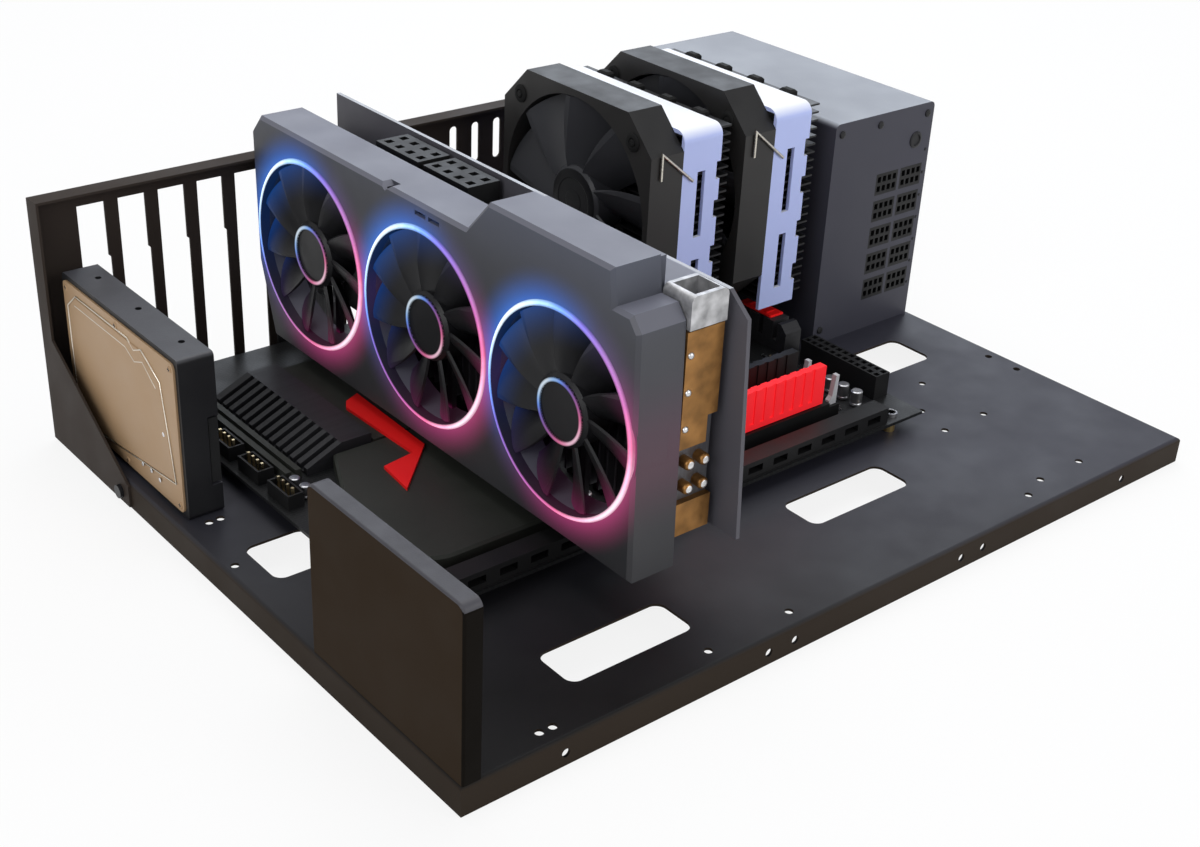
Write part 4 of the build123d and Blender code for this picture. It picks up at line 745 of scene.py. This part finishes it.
paint_faces("bench_screws", screw_black, lambda normal, corners:
            corners[0].y < REAR_SIDE and abs(corners[0].x - ORIGIN.x) > GUSSET_REACH)
board_heads = heads("board_screws")
bright_faces = bmesh.new()
dark_faces = bmesh.new()
for low, high in board_heads:
    middle = (low + high) / 2
    recess(bright_faces, (middle.x, middle.y, high.z), UP, BOARD_HEAD_R)
for low, high in heads("bench_screws"):
    middle = (low + high) / 2
    if high.z - low.z < FLAT_HEAD:
        recess(bright_faces, (middle.x, middle.y, high.z), UP, BENCH_HEAD_R)
    elif middle.y > REAR_SIDE:
        recess(bright_faces, (middle.x, high.y - HEAD_DROP, middle.z), REAR, BENCH_HEAD_R)
    elif middle.x < ORIGIN.x:
        recess(dark_faces, (low.x + HEAD_DROP, middle.y, middle.z), LEFT, GUSSET_HEAD_R)
    else:
        recess(dark_faces, (high.x - HEAD_DROP, middle.y, middle.z), RIGHT, GUSSET_HEAD_R)
piece_from(bright_faces, "screw_faces", [MAT["screw_steel"], painted_recess_shade])
piece_from(dark_faces, "gusset_screw_faces", [screw_black, painted_recess_shade])


# Small parts on the mainboard

BOARD_TOP = limits("mainboard")[1].z
CAN_PITCH = 9.5
CANS = [  # x, y, radius, height
    (51.0, 181.0, 2.5, 6.5),
    (51.0, 189.0, 2.5, 6.5),
    (50.5, 197.0, 2.5, 6.5),
    (147.0, 112.0, 2.6, 7.0),
]
CANS += [(284.0 + CAN_PITCH * index, 205.0, 3.6, 9.5) for index in range(4)]
CANS += [(243.0 + CAN_PITCH * index, 273.5, 3.6, 9.5) for index in range(7)]
CANS += [(318.0, 109.0 + 9.0 * index, 3.0, 8.0) for index in range(4)]
CANS += [(x, y, 3.0, 8.0) for y in (296.0, 304.0) for x in (168.0, 176.0)]
CHIPS = (  # x, y, size
    (216, 160, 13),
    (252, 156, 9),
    (288, 159, 10),
    (186, 236, 15),
    (214, 262, 9),
    (188, 276, 11),
    (214, 216, 8),
    (142, 150, 7),
    (216, 300, 9),
)
CHIP_TALL = 1.5
LEAD_PITCH, LEAD_LONG, LEAD_WIDE, LEAD_TALL = 1.2, 1.1, 0.5, 0.5
CHOKE_COUNT, CHOKE_START, CHOKE_PITCH, CHOKE_Y = 6, 247.0, 11.0, 263.5
CHOKE_SIZE, CHOKE_TALL = 8.2, 6.2
CHOKE_LID = ((2.9, 0), (2.9, 0.35), (2.5, 0.55))
FREE_AREAS = (  # x limits, y limits, number of parts tried
    ((162, 322), (146, 176), 90),
    ((162, 232), (182, 306), 120),
    ((306, 326), (100, 168), 34),
    ((134, 147), (100, 192), 30),
    ((62, 318), (98.5, 102.5), 44),
    ((40, 52), (98, 103), 6),
)
PART_SIZES = ((1.8, 0.9, 0.6), (2.4, 1.4, 0.9), (1.2, 0.7, 0.5))  # long, wide, tall
PART_TONES = (0, 0, 2)
PART_ROOM = 1.6
PART_END = 0.22
SEED = 11


def can(bm, x, y, radius, height):
    """Capacitor can: foot, crimped waist and a rounded shoulder round its top."""
    foot = radius + 0.35
    turned(bm, (x, y, BOARD_TOP), ((foot, 0), (foot, 0.7), (radius, 0.8)), paint=2)
    turned(bm, (x, y, BOARD_TOP + 0.8), (
        (radius, 0), (radius, 0.5), (radius - 0.3, 0.9), (radius, 1.3), (radius, height - 1.2),
        (radius - 0.25, height - 0.95), (radius - 0.55, height - 0.8)), paint=0)
    turned(bm, (x, y, BOARD_TOP + height - 0.05),
           ((radius - 0.5, 0), (radius - 0.6, 0.12), (radius * 0.35, 0.14)), paint=1)


def chip(bm, x, y, size):
    """Flat moulded chip with a sunk corner mark and a row of leads on each side."""
    high = BOARD_TOP + CHIP_TALL
    brick(bm, span(x, size), span(y, size), (BOARD_TOP + 0.2, high), 0.22, 0)
    mark = size * 0.05
    turned(bm, (x - size * 0.36, y - size * 0.36, high), ((mark, -0.1), (mark, 0.03), (size * 0.02, 0.03)),
           steps=10, paint=2)
    count = int(size / 1.3)
    lead_z = (BOARD_TOP, BOARD_TOP + LEAD_TALL)
    for index in range(count):
        step = (index - (count - 1) / 2) * LEAD_PITCH
        for side in (-1, 1):
            edge = side * (size / 2 + 0.5)
            brick(bm, span(x + edge, LEAD_LONG), span(y + step, LEAD_WIDE), lead_z, 0, 1)
            brick(bm, span(x + step, LEAD_WIDE), span(y + edge, LEAD_LONG), lead_z, 0, 1)


bm = bmesh.new()
for x, y, radius, height in CANS:
    can(bm, x, y, radius, height)
piece_from(bm, "board_cans", [can_silver, lead_tin, can_dark])

bm = bmesh.new()
for x, y, size in CHIPS:
    chip(bm, x, y, size)
piece_from(bm, "board_chips", [chip_black, lead_tin, can_dark])

bm = bmesh.new()
for index in range(CHOKE_COUNT):
    x = CHOKE_START + CHOKE_PITCH * index
    brick(bm, span(x, CHOKE_SIZE), span(CHOKE_Y, CHOKE_SIZE), (BOARD_TOP, BOARD_TOP + CHOKE_TALL), 0.8, 0)
    turned(bm, (x, CHOKE_Y, BOARD_TOP + CHOKE_TALL - SINK), CHOKE_LID, paint=0)
    for side in (-1, 1):
        lead_x = span(x + side * CHOKE_SIZE / 2, 0.6)
        brick(bm, lead_x, span(CHOKE_Y, 3.4), (BOARD_TOP, BOARD_TOP + 2.4), 0.1, 1)
piece_from(bm, "board_chokes", [choke_grey, lead_tin])

rng = random.Random(SEED)
blocked = [(low.x, high.x, low.y, high.y) for low, high in board_heads]
blocked += [(*span(x, 2 * radius), *span(y, 2 * radius)) for x, y, radius, height in CANS]
blocked += [(*span(x, size + 2), *span(y, size + 2)) for x, y, size in CHIPS]
bm = bmesh.new()
for limits_x, limits_y, count in FREE_AREAS:
    for _ in range(count):
        x, y = rng.uniform(*limits_x), rng.uniform(*limits_y)
        if any(x0 - PART_ROOM < x < x1 + PART_ROOM and y0 - PART_ROOM < y < y1 + PART_ROOM
               for x0, x1, y0, y1 in blocked):
            continue
        long, wide, tall = rng.choice(PART_SIZES)
        if rng.random() < 0.5:
            body_size, end_size = (long, wide), (long * PART_END, wide)
            shift = (long / 2, 0)
        else:
            body_size, end_size = (wide, long), (wide, long * PART_END)
            shift = (0, long / 2)
        tone = rng.choice(PART_TONES)
        brick(bm, span(x, body_size[0]), span(y, body_size[1]), (BOARD_TOP, BOARD_TOP + tall), 0, tone)
        for side in (-1, 1):
            end_x = span(x + side * shift[0], end_size[0])
            end_y = span(y + side * shift[1], end_size[1])
            brick(bm, end_x, end_y, (BOARD_TOP, BOARD_TOP + tall + 0.05), 0, 1)
piece_from(bm, "board_small_parts", [chip_black, lead_tin, small_tan])


# Fittings of the cooler's fans

PAD_IN = 13.5
PAD_PROFILE = ((4.6, -0.4), (4.6, 0.5), (4.1, 0.9), (2.4, 0.9), (2.1, 0.3))
HUB_CAP_PROFILE = ((16.2, 0), (16.2, 0.25), (15.4, 0.55), (12.0, 0.55), (11.6, 0.35), (6.0, 0.35),
                   (5.6, 0.55), (1.0, 0.6))

for number in COOLER_FANS:
    low, high = limits(f"cooler_fan_frame_{number}")
    middle = (low + high) / 2
    reach = (high.y - low.y) / 2 - PAD_IN
    bm = bmesh.new()
    for side_y in (-1, 1):
        for side_z in (-1, 1):
            y = middle.y + side_y * reach
            z = middle.z + side_z * reach
            turned(bm, (low.x - 0.05, y, z), PAD_PROFILE, LEFT, 20)
            cross_screw(bm, (low.x - 0.3, y, z), LEFT, 1.9, 0.9)
    piece_from(bm, f"fan_corner_pads_{number}", [MAT["pad_rubber"], painted_recess_shade])
    wheel_front = limits(f"cooler_rotor_{number}")[0].x
    bm = bmesh.new()
    turned(bm, (wheel_front + SINK, middle.y, middle.z), HUB_CAP_PROFILE, LEFT, 48)
    piece_from(bm, f"fan_hub_cap_{number}", [screw_black], f"cooler_fan_{number}", 25.0)


# Graphics card fittings

PLATE_SCREWS = (  # y, z
    (70, 52), (120, 50), (200, 50), (270, 52), (310, 60), (310, 120), (300, 143), (230, 143), (150, 143),
    (60, 138), (155, 67), (205, 67), (155, 118), (205, 118),
)
RIB_Y, RIB_Z = (140, 220), (60, 125)
RIB_WIDE, RIB_TALL = 1.4, 0.9
RIVET_Z = (129.0, 113.0, 97.0)
RIVET_PROFILE = ((1.5, 0), (1.5, 0.5), (1.1, 1.0), (0.4, 1.2))
LIP_SCREW_X, LIP_SCREW_IN = (128.0, 150.0), 6.0

plate_back = limits("backplate")[1].x
rib_x = (plate_back - SINK, plate_back + RIB_TALL)
bm = bmesh.new()
for y, z in PLATE_SCREWS:
    cross_screw(bm, (plate_back - SINK, y, z), RIGHT, 2.2, 1.1)
piece_from(bm, "backplate_screws", [screw_black, painted_recess_shade])
bm = bmesh.new()
for y in RIB_Y:
    brick(bm, rib_x, span(y, RIB_WIDE), RIB_Z, 0.3, 0)
for z in RIB_Z:
    brick(bm, rib_x, RIB_Y, span(z, RIB_WIDE), 0.3, 0)
piece_from(bm, "backplate_ribs", [MAT["backplate_black"]])

bm = bmesh.new()
for z in RIVET_Z:
    turned(bm, (copper_low.x + 2.2, copper_low.y + 2.6, z), RIVET_PROFILE, FRONT, 14)
piece_from(bm, "copper_rivets", [MAT["bright_metal"]])

lip_top = limits("rear_panel")[1].z
bm = bmesh.new()
for x in LIP_SCREW_X:
    cross_screw(bm, (x, panel_back - LIP_SCREW_IN, lip_top - 0.05), UP, 3.0, 1.9)
piece_from(bm, "bracket_screws", [MAT["screw_steel"], painted_recess_shade])


# Supply fittings

KNOB_X, KNOB_Z = 424.9, 118.5
KNOB_PROFILE = ((4.6, 0), (4.6, 0.5), (4.0, 0.8), (3.2, 0.8), (2.8, 0.2))
RIVET_COUNT, RIVET_START, RIVET_PITCH = 7, 20.0, 13.0
CASE_RIVET = ((0.9, 0), (0.9, 0.3), (0.5, 0.45))

psu_low, psu_high = limits("psu_case")
case_front = psu_low.y + SINK
bm = bmesh.new()
turned(bm, (KNOB_X, case_front, KNOB_Z), KNOB_PROFILE, FRONT, 24)
for x, z in ((psu_low.x + 5, psu_high.z - 6), (psu_high.x - 5, psu_high.z - 6), (psu_low.x + 5, psu_low.z + 8),
             (395.0, psu_high.z - 6)):
    cross_screw(bm, (x, case_front, z), FRONT, 2.1, 0.9)
for index in range(RIVET_COUNT):
    z = psu_low.z + RIVET_START + RIVET_PITCH * index
    turned(bm, (psu_high.x - 2.6, case_front, z), CASE_RIVET, FRONT, 10)
piece_from(bm, "supply_front_fittings", [screw_black, painted_recess_shade])
bm = bmesh.new()
for y, z in ((psu_low.y + 8, psu_low.z + 8), (psu_low.y + 8, psu_high.z - 8), (psu_high.y - 8, psu_high.z - 8),
             (psu_high.y - 8, psu_low.z + 66)):
    cross_screw(bm, (psu_high.x - SINK, y, z), RIGHT, 2.3, 1.0)
piece_from(bm, "supply_side_screws", [screw_black, painted_recess_shade])


# Coloured trim and jacks of the mainboard

TRIM_X, TRIM_Y = (328.4, 338.2), (182.0, 206.0)
TRIM_RIBS, TRIM_RIB_X, TRIM_RIB_START, TRIM_RIB_PITCH = 3, (329.8, 336.8), 187.0, 6.5
JACK_TONES = ((0.55, 0.12, 0.2), (0.12, 0.4, 0.14), (0.1, 0.25, 0.55))
JACK_START, JACK_PITCH, JACK_IN = 6.0, 10.5, 6.5
JACK_RING = ((3.6, 0), (3.6, 0.35), (3.2, 0.6), (2.2, 0.6), (1.9, 0.12))
JACK_HOLE = ((1.85, 0.02), (1.85, 0.16), (1.6, 0.2))

vrm_top = limits("vrm_heatsinks")[1].z
bm = bmesh.new()
brick(bm, TRIM_X, TRIM_Y, (vrm_top - 0.05, vrm_top + 1.3), 0.4, 0)
for index in range(TRIM_RIBS):
    rib_y = span(TRIM_RIB_START + TRIM_RIB_PITCH * index, 2.0)
    brick(bm, TRIM_RIB_X, rib_y, (vrm_top + 1.2, vrm_top + 1.8), 0.25, 0)
piece_from(bm, "regulator_red_trim", [MAT["trim_red"]])

jack_x = limits("io_ports")[1].x - JACK_IN
for index, tone in enumerate(JACK_TONES):
    bm = bmesh.new()
    place = (jack_x, panel_back - SINK, BOARD_TOP + JACK_START + JACK_PITCH * index)
    turned(bm, place, JACK_RING, REAR, 24, 0)
    # The dark disc in each ring is painted shade for the jack's hole.
    turned(bm, place, JACK_HOLE, REAR, 24, 1)
    ring_paint = finish_coat(f"jack_ring_{index + 1}", tone, 0.45, 0.08)
    piece_from(bm, f"jack_ring_{index + 1}", [ring_paint, port_dark])


# Drive fittings

MARKS = ((227.7, 49.9), (251.7, 24.0), (243.3, 24.4), (235.4, 23.4))  # y, z
MARK_PROFILE = ((1.1, 0), (1.1, 0.12), (0.7, 0.2))
CORNER_IN = 3.2


def tube(name, spots, radius, paint, closed=False):
    """Thin raised line through spots, as a round bead."""
    curve = bpy.data.curves.new(name, "CURVE")
    curve.dimensions = "3D"
    curve.bevel_depth = radius * MM
    curve.bevel_resolution = 2
    spline = curve.splines.new("POLY")
    spline.points.add(len(spots) - 1)
    for point, spot in zip(spline.points, spots):
        point.co = (*at(*spot), 1.0)
    spline.use_cyclic_u = closed
    curve.materials.append(paint.material)
    piece = bpy.data.objects.new(name, curve)
    scene.collection.objects.link(piece)
    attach(piece, "bench")


drive_low, drive_high = limits("drive_cover")
drive_x = drive_low.x
y0, y1 = drive_low.y, drive_high.y
z0, z1 = drive_low.z, drive_high.z
contour = ((y0 + 5, z0 + 13), (y1 - 20, z0 + 3), (y1 - 4, z0 + 15.5), (y1 - 4, z1 - 11.5), (y1 - 13.5, z1 - 4),
           (y0 + 42, z1 - 4), (y0 + 36, z1 - 7.5), (y0 + 29, z1 - 4.5), (y0 + 13, z1 - 13.5))
inner = ((y1 - 12, z1 - 9), (y0 + 44, z1 - 9), (y0 + 36, z1 - 13), (y0 + 28, z1 - 10), (y0 + 17, z1 - 18))
drive_screws = [(y, z) for z in (z0 + CORNER_IN, z1 - CORNER_IN) for y in (y0 + CORNER_IN, y1 - CORNER_IN)]
drive_screws += [((y0 + y1) / 2, z1 - 2.6), ((y0 + y1) / 2, z0 + 2.2)]
# Painted highlight on the raised contour lines of the drive plate.
painted_ridge_highlight = brushed("painted_ridge_highlight", (0.78, 0.72, 0.62), 0.3, Y, spread=0.08)
tube("drive_contour", [(drive_x + 0.3, y, z) for y, z in contour], 0.42, painted_ridge_highlight, True)
tube("drive_contour_inner", [(drive_x + 0.1, y, z) for y, z in inner], 0.3, painted_ridge_highlight)
bm = bmesh.new()
for y, z in drive_screws:
    cross_screw(bm, (drive_x + 0.55, y, z), LEFT, 1.7, 0.5)
piece_from(bm, "drive_screws", [MAT["drive_plate"], painted_recess_shade])
bm = bmesh.new()
for y, z in MARKS:
    turned(bm, (drive_x + 0.05, y, z), MARK_PROFILE, LEFT, 14)
piece_from(bm, "drive_marks", [MAT["bright_metal"]])


# Floor, light and camera

WHITE = (1.0, 1.0, 1.0)
FLOOR_TONE = (0.9, 0.9, 0.9)
FLOOR_GLOW = 0.86
FLOOR_HALF = 12.0
FLOOR_DROP = -0.0004
SOFT_TONE, SOFT_POWER = (0.94, 0.96, 1.0), 0.32
MIRRORED_WHITE = 0.35
LAMPS = (  # name, place, aim, size, power, colour
    ("top_box", (0.25, 0.35, 1.5), (0, 0, 0.05), (1.6, 1.1), 14.0, WHITE),
    ("rear_box", (1.2, 1.25, 0.95), (0.12, 0.05, 0.03), (1.5, 0.9), 10.5, (0.8, 0.88, 1.0)),
    ("left_box", (-1.5, -0.5, 0.9), (0, 0, 0.06), (1.1, 1.1), 9.0, WHITE),
    ("front_box", (0.5, -1.6, 0.8), (0, 0, 0.05), (1.4, 0.9), 10.0, WHITE),
)
CAMERA_PLACE = (-270.7, -375.8, 413.3)
CAMERA_TURN = (-40.975, 28.598, 2.954)  # azimuth, elevation and roll in degrees
LENS, SENSOR = 51.03, 36.0
CLIP = (0.02, 100.0)


def plain_tree(block, kind):
    """Empty node tree of a material or world, and the socket of its new output node."""
    block.use_nodes = True
    tree = block.node_tree
    tree.nodes.clear()
    return tree, tree.nodes.new(kind).inputs["Surface"]


def shader(tree, kind, color, strength=None):
    """Output of a new shader node of one colour."""
    node = tree.nodes.new(kind)
    node.inputs["Color"].default_value = (*color, 1)
    if strength is not None:
        node.inputs["Strength"].default_value = strength
    return node.outputs[0]


def join(tree, operation, first, second):
    """Sum, product or other step between a socket and a socket or number."""
    node = tree.nodes.new("ShaderNodeMath")
    node.operation = operation
    tree.links.new(first, node.inputs[0])
    if isinstance(second, float):
        node.inputs[1].default_value = second
    else:
        tree.links.new(second, node.inputs[1])
    return node.outputs["Value"]


def seen_rays(tree, mirrored=1.0):
    """1 for rays from the camera, and a share of that for mirrored rays and those through glass."""
    path = tree.nodes.new("ShaderNodeLightPath")
    total = path.outputs["Is Camera Ray"]
    for kind in ("Is Glossy Ray", "Is Transmission Ray"):
        total = join(tree, "MAXIMUM", total, join(tree, "MULTIPLY", path.outputs[kind], mirrored))
    return total


def mix_shaders(tree, share, first, second, surface):
    """Feeds a surface with two shaders, mixed by a share of the second."""
    mix = tree.nodes.new("ShaderNodeMixShader")
    tree.links.new(share, mix.inputs["Fac"])
    tree.links.new(first, mix.inputs[1])
    tree.links.new(second, mix.inputs[2])
    tree.links.new(mix.outputs["Shader"], surface)


def floor_material():
    """Pale floor: white where it is seen, with the object's shadow kept."""
    material = bpy.data.materials.new("floor_white")
    tree, surface = plain_tree(material, "ShaderNodeOutputMaterial")
    share = join(tree, "MULTIPLY", seen_rays(tree), FLOOR_GLOW)
    mix_shaders(tree, share, shader(tree, "ShaderNodeBsdfDiffuse", FLOOR_TONE),
                shader(tree, "ShaderNodeEmission", WHITE), surface)
    return material


def lamp(name, place, aim, size, power, color):
    """Soft rectangular lamp turned towards a place."""
    data = bpy.data.lights.new(name, "AREA")
    data.shape = "RECTANGLE"
    data.size, data.size_y = size
    data.energy = power
    data.color = color
    light = bpy.data.objects.new(name, data)
    scene.collection.objects.link(light)
    light.location = place
    light.rotation_mode = "QUATERNION"
    light.rotation_quaternion = (Vector(aim) - Vector(place)).to_track_quat("-Z", "Y")


floor_mesh = bpy.data.meshes.new("floor")
floor_spots = [(x * FLOOR_HALF, y * FLOOR_HALF, FLOOR_DROP) for x, y in ((-1, -1), (1, -1), (1, 1), (-1, 1))]
floor_mesh.from_pydata(floor_spots, [], [(0, 1, 2, 3)])
floor = bpy.data.objects.new("floor", floor_mesh)
scene.collection.objects.link(floor)
floor_mesh.materials.append(floor_material())

world = bpy.data.worlds.new("studio")
scene.world = world
tree, surface = plain_tree(world, "ShaderNodeOutputWorld")
mix_shaders(tree, seen_rays(tree, MIRRORED_WHITE), shader(tree, "ShaderNodeBackground", SOFT_TONE, SOFT_POWER),
            shader(tree, "ShaderNodeBackground", WHITE, 1.0), surface)

for entry in LAMPS:
    lamp(*entry)

camera_data = bpy.data.cameras.new("photo_camera")
camera_data.lens = LENS
camera_data.sensor_width = SENSOR
camera_data.clip_start, camera_data.clip_end = CLIP
camera = bpy.data.objects.new("photo_camera", camera_data)
scene.collection.objects.link(camera)
azimuth, elevation, roll = (math.radians(angle) for angle in CAMERA_TURN)
back = Vector((math.sin(azimuth) * math.cos(elevation), -math.cos(azimuth) * math.cos(elevation),
               math.sin(elevation)))
camera.rotation_mode = "QUATERNION"
camera.rotation_quaternion = (-back).to_track_quat("-Z", "Y") @ Quaternion((0, 0, 1), roll)
camera.location = at(*CAMERA_PLACE)
scene.camera = camera

scene.view_settings.view_transform = "Standard"
